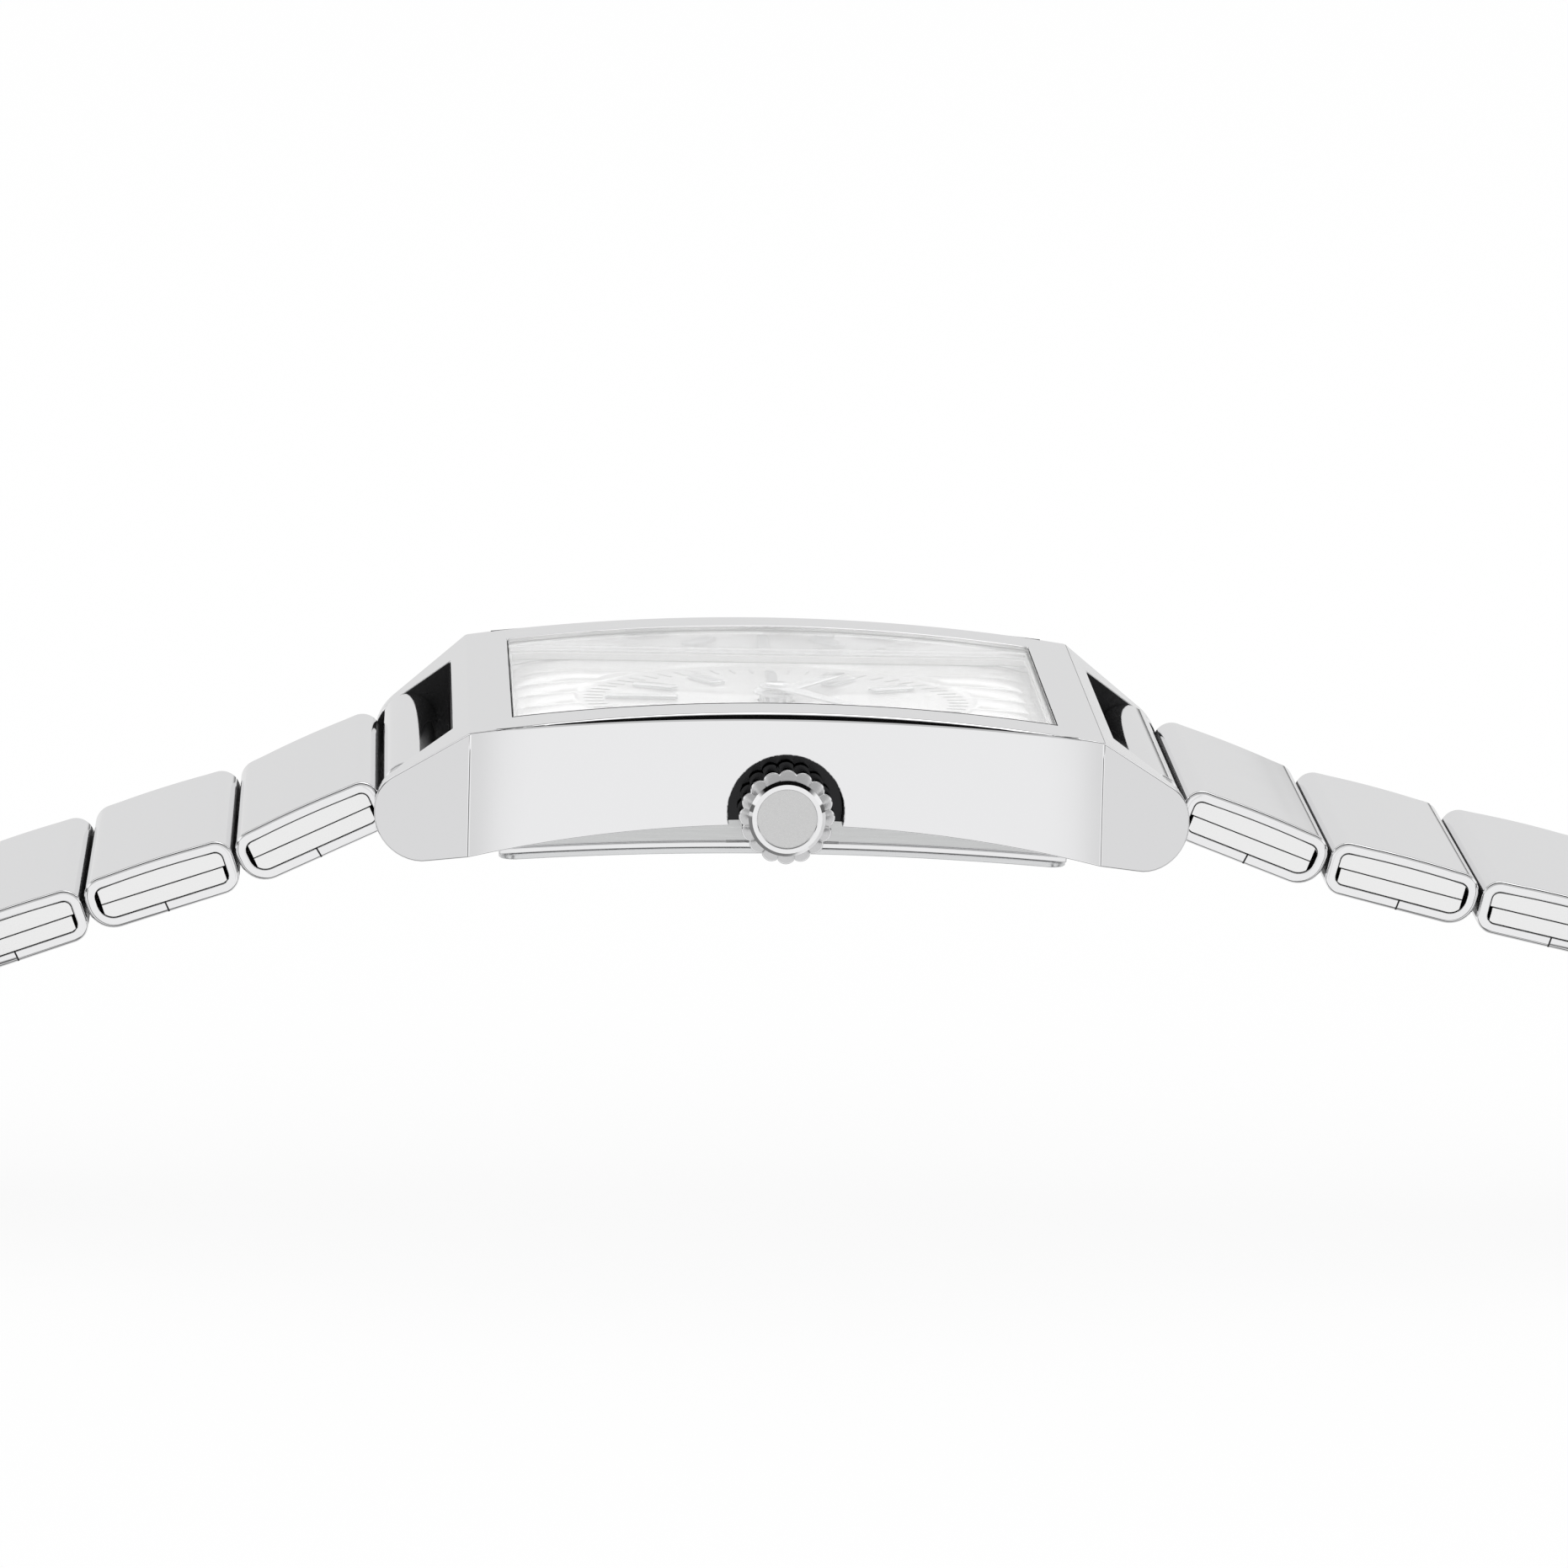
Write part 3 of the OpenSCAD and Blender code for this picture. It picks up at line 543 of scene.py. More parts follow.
class Recipe:
    """A Geometry Nodes tree with named sizes, which grows one piece at a time."""

    def __init__(self, name: str, *sizes: str) -> None:
        """Start the tree.

        Args:
            name: Name of the tree.
            sizes: Names of its inputs.
        """
        self.tree = bpy.data.node_groups.new(name, "GeometryNodeTree")
        face = self.tree.interface
        face.new_socket("Geometry", in_out="INPUT", socket_type="NodeSocketGeometry")
        self.sockets = {
            size: face.new_socket(size, in_out="INPUT", socket_type="NodeSocketFloat").identifier
            for size in sizes}
        face.new_socket("Geometry", in_out="OUTPUT", socket_type="NodeSocketGeometry")
        self.inputs = self.add("NodeGroupInput").outputs

    def add(self, kind: str, inputs: dict[Any, Any] | None = None, **settings: Any) -> Node:
        """Add a node to the tree."""
        return add(self.tree, kind, inputs, **settings)

    def close(self, geometry: Feed, finish: Finish) -> None:
        """End the tree with real geometry that has a finish on.

        Args:
            geometry: Result of the tree's other nodes.
            finish: Finish of the whole piece.
        """
        real = self.add("GeometryNodeRealizeInstances", {0: geometry})
        dressed = self.add("GeometryNodeSetMaterial", {"Geometry": real, "Material": finish.material()})
        self.add("NodeGroupOutput", {0: dressed})

    def grow(self, name: str, base: Mesh | None = None, **sizes: float) -> Piece:
        """Make a piece with the tree and keep its plain mesh.

        Args:
            name: Name of the piece.
            base: Mesh that the tree starts from.
            sizes: Lengths for the tree's inputs, in millimetres.

        Returns:
            The piece, with no modifier left.
        """
        piece = new_piece(name, base or bpy.data.meshes.new(name))
        modifier = piece.modifiers.new(self.tree.name, "NODES")
        modifier.node_group = self.tree
        for size, length in sizes.items():
            modifier[self.sockets[size]] = length * MM
        return settle(piece)


def wire(name: str, points: Sequence[Sequence[float]], closed: bool = False, **marks: Sequence[float]
         ) -> Mesh:
    """Make a line of edges, with one number a point under each mark's name.

    Args:
        name: Name of the mesh.
        points: Places in millimetres.
        closed: Whether the last point joins the first.
        marks: Numbers, one a point, kept as attributes; lengths among them are in metres.

    Returns:
        The mesh.
    """
    mesh = bpy.data.meshes.new(name)
    edges = [(i, i + 1) for i in range(len(points) - 1)] + ([(len(points) - 1, 0)] if closed else [])
    mesh.from_pydata([[c * MM for c in p] for p in points], edges, [])
    for mark, values in marks.items():
        mesh.attributes.new(mark, "FLOAT", "POINT").data.foreach_set("value", list(values))
    return mesh


def prism(name: str, outline: Sequence[Sequence[float]], half_x: float, mid_x: float = 0.0) -> Piece:
    """Make a closed prism along X.

    Args:
        name: Name of the piece.
        outline: Y and Z of its corners, in millimetres.
        half_x: Half of its length, in millimetres.
        mid_x: X of its middle, in millimetres.

    Returns:
        The prism.
    """
    count = len(outline)
    corners = [(mid_x + s * half_x, y, z) for s in (-1, 1) for y, z in outline]
    faces = [tuple(range(count)), tuple(range(2 * count - 1, count - 1, -1))]
    faces += [(i, (i + 1) % count, count + (i + 1) % count, count + i) for i in range(count)]
    return new_piece(name, closed_mesh(name, corners, faces))


def carve(piece: Piece, *cutters: Piece) -> Piece:
    """Cut shapes out of a piece and throw them away.

    Args:
        piece: The piece.
        cutters: The shapes.

    Returns:
        The same piece.
    """
    for cutter in cutters:
        cut = piece.modifiers.new(cutter.name, "BOOLEAN")
        cut.object = cutter
        cut.operation = "DIFFERENCE"
        cut.solver = "MANIFOLD"
    settle(piece)
    for cutter in cutters:
        bpy.data.meshes.remove(cutter.data)
    return piece


def corner(steps: int = 6) -> list[Spot]:
    """Shares of its radius by which a round corner keeps off its two sides, from one side to the other."""
    turns = (math.pi / 2 * i / steps for i in range(steps + 1))
    return [(1 - math.cos(a), 1 - math.sin(a)) for a in turns]


def ring(centre: Sequence[float], r: float, count: int = 48) -> list[Spot]:
    """Points of a circle in the YZ plane."""
    turns = (2 * math.pi * i / count for i in range(count))
    return [(centre[0] + r * math.cos(a), centre[1] + r * math.sin(a)) for a in turns]


def closed_mesh(name: str, corners: Sequence[Sequence[float]], faces: Sequence[Sequence[int]],
                numbers: Sequence[int] | None = None, weld_mm: float = 0.0) -> Mesh:
    """Make a mesh whose faces all look outward.

    Args:
        name: Name of the mesh.
        corners: Places in millimetres.
        faces: Numbers of each face's corners.
        numbers: Material number of each face.
        weld_mm: Corners closer than this become one.

    Returns:
        The mesh.
    """
    mesh = bpy.data.meshes.new(name)
    mesh.from_pydata([[c * MM for c in corner] for corner in corners], [], faces)
    if numbers:
        mesh.polygons.foreach_set("material_index", numbers)
    shape = bmesh.new()
    shape.from_mesh(mesh)
    if weld_mm:
        bmesh.ops.remove_doubles(shape, verts=shape.verts, dist=weld_mm * MM)
    bmesh.ops.recalc_face_normals(shape, faces=shape.faces)
    shape.to_mesh(mesh)
    shape.free()
    return mesh


@dataclass
class Rounder:
    """Makes a finer copy of a node, with its sharp edges rounded and its arcs shaded smooth.

    Args:
        radius_mm: Width of the rounding.
        steps: Faces across it.
        sharp_deg: Edges that turn by more than this are rounded.
        weld_mm: Corners closer than this become one.
        full: Whether the width holds on short edges too.
        flat_deg: Faces that turn by less than this become one.
        smooth_deg: Edges that turn by more than this stay sharp in the shading.
    """

    radius_mm: float = 0.08
    steps: int = 3
    sharp_deg: float = 28.0
    weld_mm: float = 0.0005
    full: bool = False
    flat_deg: float = 0.15
    smooth_deg: float = SHARP_DEG

    def copy_of(self, source: Piece, name: str) -> Piece:
        """Copy a node's shape to a new piece with rounded edges, which stays in the node's own box.

        Args:
            source: The node's object.
            name: Name of the new piece.

        Returns:
            The new piece, with no modifiers left.
        """
        shape = bmesh.new()
        shape.from_mesh(source.data)
        shape.transform(source.matrix_world)
        bmesh.ops.remove_doubles(shape, verts=shape.verts, dist=self.weld_mm * MM)
        bmesh.ops.dissolve_degenerate(shape, edges=shape.edges, dist=self.weld_mm * MM)
        bmesh.ops.dissolve_limit(
            shape, angle_limit=math.radians(self.flat_deg), verts=shape.verts, edges=shape.edges)
        mesh = bpy.data.meshes.new(name)
        shape.to_mesh(mesh)
        shape.free()
        spans = [(min(line), max(line)) for line in zip(*(vertex.co for vertex in mesh.vertices))]
        piece = self.rounded(new_piece(name, mesh))
        for vertex in piece.data.vertices:
            vertex.co = [min(max(at, low), high) for at, (low, high) in zip(vertex.co, spans)]
        return piece

    def rounded(self, piece: Piece) -> Piece:
        """Round a piece's sharp edges and shade it smooth.

        Args:
            piece: The piece.

        Returns:
            The same piece.
        """
        bevel = piece.modifiers.new("rounding", "BEVEL")
        bevel.width = self.radius_mm * MM
        bevel.segments = self.steps
        bevel.limit_method = "ANGLE"
        bevel.angle_limit = math.radians(self.sharp_deg)
        bevel.use_clamp_overlap = not self.full
        return shade(settle(piece), self.smooth_deg)


# Studio


@dataclass
class Studio:
    """White sweep, soft light and the camera.

    Args:
        target: Point of the watch in the middle of the picture.
        distance: From the lens to that point.
        elevation: Of the camera above level, in degrees.
        azimuth: Of the camera from the crown's side toward 12 o'clock, in degrees.
        roll: Of the camera, in degrees.
        pixels: Side of the square picture.
        focal_pixels: Focal length in those pixels.
        sensor: Width of the camera's sensor.
        floor_gap: From the lowest point of the watch to the floor.
        floor_lean: How far the sweep's middle line leans toward 12 o'clock.
        clip: Nearest and farthest that the camera sees, in metres.
        light: Level of the white room on what isn't metal.
        through_glass: Its level in what shines under the glass.
        depth: Power that sets the room's tones apart there.
        aside: Sine of the angle toward 6 or 12 o'clock where the flanks begin, and where they take over.
        dusk: Colour of the far horizon toward 12 o'clock.
        dusk_side: Sine of the angle toward 12 o'clock where it begins, and where it is full.
        dusk_top: Sine of the height where it ends.
        arc: What metal sees over the watch from the crown's side, as degrees and colour.
        flanks: What it sees toward 6 and 12 o'clock, as the sine of the height and colour.
        sweep: What it sees on the floor round the case's corners, from straight out of 3 o'clock, as
            degrees and colour.
        floor_half: Half of the floor's side, in metres.
        floor_case: X and Y of the case's corner, which the sweep turns round.
        floor_near: Distance from the case where the near strip begins to fade, and where it ends.
        floor_strip: Colour of that strip to metal: painted shade of the watch on the floor near it.
        paper: Colour of the floor.
        floor_seen: Share of its own light in what the camera sees of it; the rest takes the shadow.
        floor_shine: Share of the painted sweep in what metal sees of it.
        lamp_size: Sides of the lamp, in metres.
        lamp_at: Its place, in metres.
        lamp_power: Its power in watts.
        lamp_shine: Share of its light in reflections.
    """

    target: tuple[float, float, float] = (0, 0.503, 1.04)
    distance: float = 447.0
    elevation: float = 11.4
    azimuth: float = -2.74
    roll: float = 1.415
    pixels: int = 1862
    focal_pixels: float = 10541.6
    sensor: float = 36.0
    floor_gap: float = 0.02
    floor_lean: float = 0.048
    clip: tuple[float, float] = (0.01, 10.0)
    light: float = 0.96
    through_glass: float = 2.5
    depth: float = 1.6
    aside: tuple[float, float] = (0.7, 0.8)
    dusk: str = "#4A4A4A"
    dusk_side: tuple[float, float] = (0.08, 0.16)
    dusk_top: float = 0.07
    arc: Stops = (
        (0, "#FFFFFF"), (6, "#FFFFFF"), (10, "#C8C8C8"), (50, "#C8C8C8"), (55, "#0A0A0A"), (83, "#0A0A0A"),
        (86, "#FFFFFF"), (119, "#FFFFFF"), (122, "#8C8C8C"), (149, "#8C8C8C"), (152, "#FFFFFF"),
        (160, "#FFFFFF"), (166, "#E3E3E3"), (180, "#E3E3E3"))
    flanks: Stops = (
        (0.0, "#6A6A6A"), (0.2, "#6A6A6A"), (0.24, "#FFFFFF"), (0.5, "#FFFFFF"), (0.6, "#B0B0B0"),
        (1.0, "#FFFFFF"))
    sweep: Stops = (
        (0, "#F9F9F9"), (1.2, "#F9F9F9"), (2.4, "#D6D6D6"), (4, "#F9F9F9"), (28, "#F9F9F9"), (32, "#3A3A3A"),
        (42, "#3A3A3A"), (46, "#FFFFFF"), (56, "#FFFFFF"), (64, "#E4E4E4"), (180, "#E4E4E4"))
    floor_half: float = 3.0
    floor_case: tuple[float, float] = (10.0, 15.0)
    floor_near: tuple[float, float] = (12.0, 18.0)
    floor_strip: str = "#707070"
    paper: str = "#FAFAFA"
    floor_seen: float = 0.88
    floor_shine: float = 0.9
    lamp_size: tuple[float, float] = (0.4, 0.3)
    lamp_at: tuple[float, float, float] = (-0.2, 0.12, 0.6)
    lamp_power: float = 0.35
    lamp_shine: float = 0.2

    def build(self, lowest: float) -> None:
        """Make the camera, the light and the floor.

        Args:
            lowest: Height of the watch's lowest point, in metres.
        """
        self.camera()
        self.world()
        self.lamps()
        self.floor(lowest)

    def camera(self) -> None:
        """Set the camera at the photograph's viewing angle."""
        e, a, r = (math.radians(v) for v in (self.elevation, self.azimuth, self.roll))
        back = Vector((math.cos(e) * math.cos(a), math.cos(e) * math.sin(a), math.sin(e)))
        right = Vector((0, 0, 1)).cross(back).normalized()
        up = back.cross(right)
        right, up = right * math.cos(r) + up * math.sin(r), up * math.cos(r) - right * math.sin(r)
        data = bpy.data.cameras.new("camera")
        data.sensor_width = self.sensor
        data.lens = self.focal_pixels / self.pixels * self.sensor
        data.clip_start, data.clip_end = self.clip
        piece = new_piece("camera", data)
        eye = (Vector(self.target) + back * self.distance) * MM
        piece.matrix_world = Matrix.Translation(eye) @ Matrix((right, up, back)).transposed().to_4x4()
        bpy.context.scene.camera = piece

    def band(self, tree: Tree, value: Feed, stops: Stops, span: float) -> Socket:
        """Colour a value by stops.

        Args:
            tree: Tree that gets the colours.
            value: From 0 to 1.
            stops: Place and colour of each stop.
            span: Place that a value of 1 stands for.

        Returns:
            The colour.
        """
        ramp = add(tree, "ShaderNodeValToRGB", {0: value})
        elements = ramp.color_ramp.elements
        while len(elements) < len(stops):
            elements.new(0.5)
        for element, (at, colour) in zip(elements, stops):
            element.position = at / span
            element.color = linear(colour)
        return ramp.outputs[0]

    def world(self) -> None:
        """Light with a white room, of which metal and the glass see the painted tones instead."""
        world = bpy.data.worlds.new("studio")
        bpy.context.scene.world = world
        tree = emptied(world)
        room = self.room(tree)
        deeper = add(tree, "ShaderNodeGamma", {0: room, 1: self.depth})
        path = add(tree, "ShaderNodeLightPath").outputs
        mixed = add(tree, "ShaderNodeBackground", {0: linear(WHITE), 1: self.light})
        for ray, colour, level in (("Is Camera Ray", linear(WHITE), 1.0), ("Is Glossy Ray", room, 1.0),
                                   ("Is Transmission Ray", deeper, self.through_glass)):
            sight = add(tree, "ShaderNodeBackground", {0: colour, 1: level})
            mixed = add(tree, "ShaderNodeMixShader", {0: path[ray], 1: mixed, 2: sight})
        add(tree, "ShaderNodeOutputWorld", {0: mixed})

    def room(self, tree: Tree) -> Socket:
        """Paint the room: a softbox overhead, dark flags beside it and a grey far wall.

        Args:
            tree: Tree of the world.

        Returns:
            Its colour in every direction.
        """
        axes = add(tree, "ShaderNodeSeparateXYZ", {
            0: add(tree, "ShaderNodeTexCoord").outputs["Generated"]}).outputs
        angle = add(tree, "ShaderNodeMath", {0: axes["Z"], 1: axes["X"]}, operation="ARCTAN2")
        turn = add(tree, "ShaderNodeMath", {0: angle, 1: math.pi}, operation="DIVIDE")
        over = add(tree, "ShaderNodeMath", {0: turn}, operation="ABSOLUTE")
        along = add(tree, "ShaderNodeMath", {0: axes["Y"]}, operation="ABSOLUTE")
        aside = add(tree, "ShaderNodeMapRange", {
            "Value": along, "From Min": self.aside[0], "From Max": self.aside[1]})
        # The colours of a Mix node are its inputs 6 and 7 and its output 2.
        wall = add(tree, "ShaderNodeMix", {
            0: aside, 6: self.band(tree, over, self.arc, HALF_TURN),
            7: self.band(tree, axes["Z"], self.flanks, 1)}, data_type="RGBA").outputs[2]
        low = add(tree, "ShaderNodeMapRange", {
            "Value": axes["Z"], "From Min": 0.0, "From Max": self.dusk_top, "To Min": 1.0, "To Max": 0.0})
        toward = add(tree, "ShaderNodeMapRange", {
            "Value": axes["Y"], "From Min": self.dusk_side[0], "From Max": self.dusk_side[1]})
        edge = add(tree, "ShaderNodeMath", {0: low, 1: toward}, operation="MULTIPLY")
        behind = add(tree, "ShaderNodeMath", {0: axes["X"], 1: 0.0}, operation="LESS_THAN")
        dusk = add(tree, "ShaderNodeMath", {0: edge, 1: behind}, operation="MULTIPLY")
        return add(tree, "ShaderNodeMix", {
            0: dusk, 6: wall, 7: linear(self.dusk)}, data_type="RGBA").outputs[2]

    def lamps(self) -> None:
        """Add one large soft lamp above the far side, which gives the light a direction."""
        data = bpy.data.lights.new("softbox", "AREA")
        data.shape = "RECTANGLE"
        data.size, data.size_y = self.lamp_size
        data.energy, data.specular_factor = self.lamp_power, self.lamp_shine
        piece = new_piece("softbox", data)
        piece.location = self.lamp_at
        piece.rotation_euler = (-piece.location).to_track_quat("-Z", "Y").to_euler()

    def floor(self, lowest: float) -> None:
        """Lay a white floor that shows the watch's soft shadow.

        Args:
            lowest: Height of the watch's lowest point, in metres.
        """
        half, z = self.floor_half, lowest - self.floor_gap * MM
        mesh = bpy.data.meshes.new("floor")
        corners = [(-half, -half, z), (half, -half, z), (half, half, z), (-half, half, z)]
        mesh.from_pydata(corners, [], [(0, 1, 2, 3)])
        piece = new_piece("floor", mesh)
        piece.data.materials.append(self.sheet())
        piece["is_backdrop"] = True

    def sheet(self) -> bpy.types.Material:
        """Make the floor's material.

        Returns:
            White paper with a glow to the camera, of which metal sees the painted sweep instead.
        """
        made = bpy.data.materials.new("white sweep")
        tree = emptied(made)
        path = add(tree, "ShaderNodeLightPath").outputs
        seen = add(tree, "ShaderNodeMath", {
            0: path["Is Camera Ray"], 1: path["Is Transmission Ray"]}, operation="MAXIMUM")
        mixed = add(tree, "ShaderNodeBsdfDiffuse", {"Color": linear(self.paper)})
        for rays, share, light in ((seen, self.floor_seen, linear(WHITE)),
                                   (path["Is Glossy Ray"], self.floor_shine, self.painted(tree))):
            part = add(tree, "ShaderNodeMath", {0: rays, 1: share}, operation="MULTIPLY")
            glow = add(tree, "ShaderNodeEmission", {"Color": light, "Strength": 1.0})
            mixed = add(tree, "ShaderNodeMixShader", {0: part, 1: mixed, 2: glow})
        add(tree, "ShaderNodeOutputMaterial", {"Surface": mixed})
        return made

    def painted(self, tree: Tree) -> Socket:
        """Paint the sweep round the case's corners and a strip of painted shade along its side.

        Args:
            tree: Tree of the floor's material.

        Returns:
            Its colour at every spot.
        """
        case_x, case_y = (side * MM for side in self.floor_case)
        near_x, far_x = (reach * MM for reach in self.floor_near)
        axes = add(tree, "ShaderNodeSeparateXYZ", {
            0: add(tree, "ShaderNodeTexCoord").outputs["Object"]}).outputs
        out = add(tree, "ShaderNodeMath", {0: axes["X"], 1: case_x}, operation="SUBTRACT")
        lean = add(tree, "ShaderNodeMath", {0: out, 1: self.floor_lean}, operation="MULTIPLY")
        along = add(tree, "ShaderNodeMath", {0: axes["Y"], 1: lean}, operation="SUBTRACT")
        reach = add(tree, "ShaderNodeMath", {0: along}, operation="ABSOLUTE")
        beyond = add(tree, "ShaderNodeMath", {0: reach, 1: case_y}, operation="SUBTRACT")
        angle = add(tree, "ShaderNodeMath", {0: beyond, 1: out}, operation="ARCTAN2")
        turn = add(tree, "ShaderNodeMath", {0: angle, 1: math.pi}, operation="DIVIDE")
        near = add(tree, "ShaderNodeMapRange", {
            "Value": out, "From Min": near_x, "From Max": far_x, "To Min": 1.0, "To Max": 0.0})
        ahead = add(tree, "ShaderNodeMath", {0: out, 1: 0.0}, operation="GREATER_THAN")
        strip = add(tree, "ShaderNodeMath", {0: near, 1: ahead}, operation="MULTIPLY")
        return add(tree, "ShaderNodeMix", {
            0: strip, 6: self.band(tree, turn, self.sweep, HALF_TURN), 7: linear(self.floor_strip)},
            data_type="RGBA").outputs[2]


# The watch


class Fitting:
    """Ties pieces to the frame's bodies and nodes."""

    def __init__(self, frame: dict[str, Any]) -> None:
        """Read which body and slot each node has.
        """
        record = frame["record"]
        self.nodes = frame["nodes"]
        self.body_of = {node: body for body, nodes in record["behaviour"]["bodies"].items() for node in nodes}
        self.slot_of = {row["node"]: row["material_slot"] for row in record["subparts"]}

    def keep(self, node: str, finish: Finish) -> None:
        """Show a node as it is, with a finish."""
        put_on(self.nodes[node], finish)
        log.info("%s kept: %s", node, finish.name)

    def stand_for(self, piece: Piece, node: str) -> None:
        """Let a piece take a node's place and body.

        Args:
            piece: The finished piece.
            node: The node that it replaces.
        """
        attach(piece, self.body_of[node])
        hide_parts(node)
        log.info("%s for %s: %d faces", piece.name, node, len(piece.data.polygons))

    def join(self, piece: Piece, node: str) -> None:
        """Let a piece ride beside a node, on the node's body.

        Args:
            piece: The finished piece.
            node: The node that it is fixed to.
        """
        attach(piece, self.body_of[node])
        log.info("%s beside %s: %d faces", piece.name, node, len(piece.data.polygons))

    def round_off(self, node: str, finish: Finish, rounder: Rounder) -> Piece:
        """Let a rounded copy of a node take its place.

        Args:
            node: The node.
            finish: Finish of both.
            rounder: How the copy is rounded.

        Returns:
            The copy.
        """
        put_on(self.nodes[node], finish)
        piece = rounder.copy_of(self.nodes[node], f"{node}_rounded")
        put_on(piece, finish)
        self.stand_for(piece, node)
        return piece


@dataclass
class CaseParts:
    """Case, glass, case back, gaskets, tube and spring bars.

    Args:
        fit: Ties to the frame.
        edge: Rounding of the polished edges.
        glass_edge: Width of the bevel round the glass.
        fine_edge: Rounding of small parts.
        side_x: Half width of the case.
        pocket_x: X of the floor of the crown's pocket.
        pocket_r: Radius of that pocket.
        pocket_z: Height of its axis.
        lug_in: Half width of the gap between two lugs.
        lug_root: Y past which that gap begins.
        lug_top: Height below which its wall gets painted shade.
        window: Half width and half length of the opening for the glass.
        flange_z: Height above which the ledge in that opening shows.
        glass_rim: Width of the rim under the glass.
        rim_cut: How much of that width its copy does without.
        rim_play: How far past the rim's inner line a corner still belongs to it.
        band_x: Half width of the set-back band below the sides.
        band_play: How far from there a face still belongs to it.
        facing: Cosine to a direction above which a face looks that way.
        wall_rise: Upward part of a normal below which a face counts as a wall.
        slack: Tolerance in telling faces apart.
    """

    fit: Fitting
    edge: float = 0.08
    glass_edge: float = 0.06
    fine_edge: float = 0.05
    side_x: float = 13.25
    pocket_x: float = 11.9
    pocket_r: float = 2.85
    pocket_z: float = 2.28
    lug_in: float = 9.05
    lug_root: float = 14.5
    lug_top: float = 5.0
    window: tuple[float, float] = (10.5, 13.4)
    flange_z: float = 4.0
    glass_rim: float = 0.75
    rim_cut: float = 0.62
    rim_play: float = 0.2
    band_x: float = 11.55
    band_play: float = 0.1
    facing: float = 0.9
    wall_rise: float = 0.3
    slack: float = 0.02

    def build(self) -> None:
        """Make and dress the case's parts."""
        fine = Rounder(self.fine_edge)
        case = self.fit.round_off(
            "case_middle", CASE_STEEL, Rounder(self.edge, steps=4, sharp_deg=18, weld_mm=0.001, full=True))
        # The pocket, the gap between the lugs and the set-back band get painted shade; the ledge is silvered
        # like the dial.
        for finish, chosen in ((POCKET_SHADE_STEEL, self.pocket), (GAP_SHADE_STEEL, self.between_lugs),
                               (SILVERED, self.flange), (SHADED_BAND_STEEL, self.set_back)):
            dress_faces(case, finish, chosen)
        self.widen_hollow(self.fit.round_off("crystal", GLASS, Rounder(self.glass_edge, steps=2)))
        self.fit.round_off("case_back", BACK_STEEL, Rounder(self.fine_edge, weld_mm=0.03, full=True))
        for node in ("crown_tube", "spring_bars"):
            self.fit.round_off(node, MOVEMENT_STEEL, fine)
        self.fit.keep("crystal_gasket", GASKET_CLEAR)
        for node in ("case_back_gasket", "crown_gasket"):
            self.fit.keep(node, GASKET_RUBBER)

    def widen_hollow(self, glass: Piece) -> None:
        """Move the walls of the glass's hollow out to a thin rim, which is all that a flush glass shows.

        Args:
            glass: The rounded glass.
        """
        reach = [half - self.glass_rim / 2 for half in self.window]
        for vertex in glass.data.vertices:
            x, y, _ = vertex.co / MM
            if abs(x) < reach[0] and abs(y) < reach[1]:
                vertex.co.x += math.copysign(self.rim_cut, x) * MM
                if abs(y) > self.window[1] - self.glass_rim - self.rim_play:
                    vertex.co.y += math.copysign(self.rim_cut, y) * MM

    def pocket(self, middle: Vector, _: Vector) -> bool:
        """Tell whether a face lies in the crown's pocket."""
        off_axis = math.hypot(middle.y, middle.z - self.pocket_z)
        return self.pocket_x < middle.x < self.side_x - self.edge and off_axis < self.pocket_r + self.slack

    def between_lugs(self, middle: Vector, normal: Vector) -> bool:
        """Tell whether a face lies between the lugs, where shade is painted."""
        within = abs(middle.x) < self.lug_in + self.slack and abs(middle.y) > self.lug_root
        return within and middle.z < self.lug_top and normal.z < self.wall_rise

    def flange(self, middle: Vector, _: Vector) -> bool:
        """Tell whether a face is on the ledge round the dial, which is silvered like it."""
        inside = abs(middle.x) < self.window[0] - self.slack and abs(middle.y) < self.window[1] - self.slack
        return inside and middle.z > self.flange_z

    def set_back(self, middle: Vector, normal: Vector) -> bool:
        """Tell whether a face is on the set-back band below a side, which gets painted shade."""
        return abs(normal.x) > self.facing and abs(abs(middle.x) - self.band_x) < self.band_play


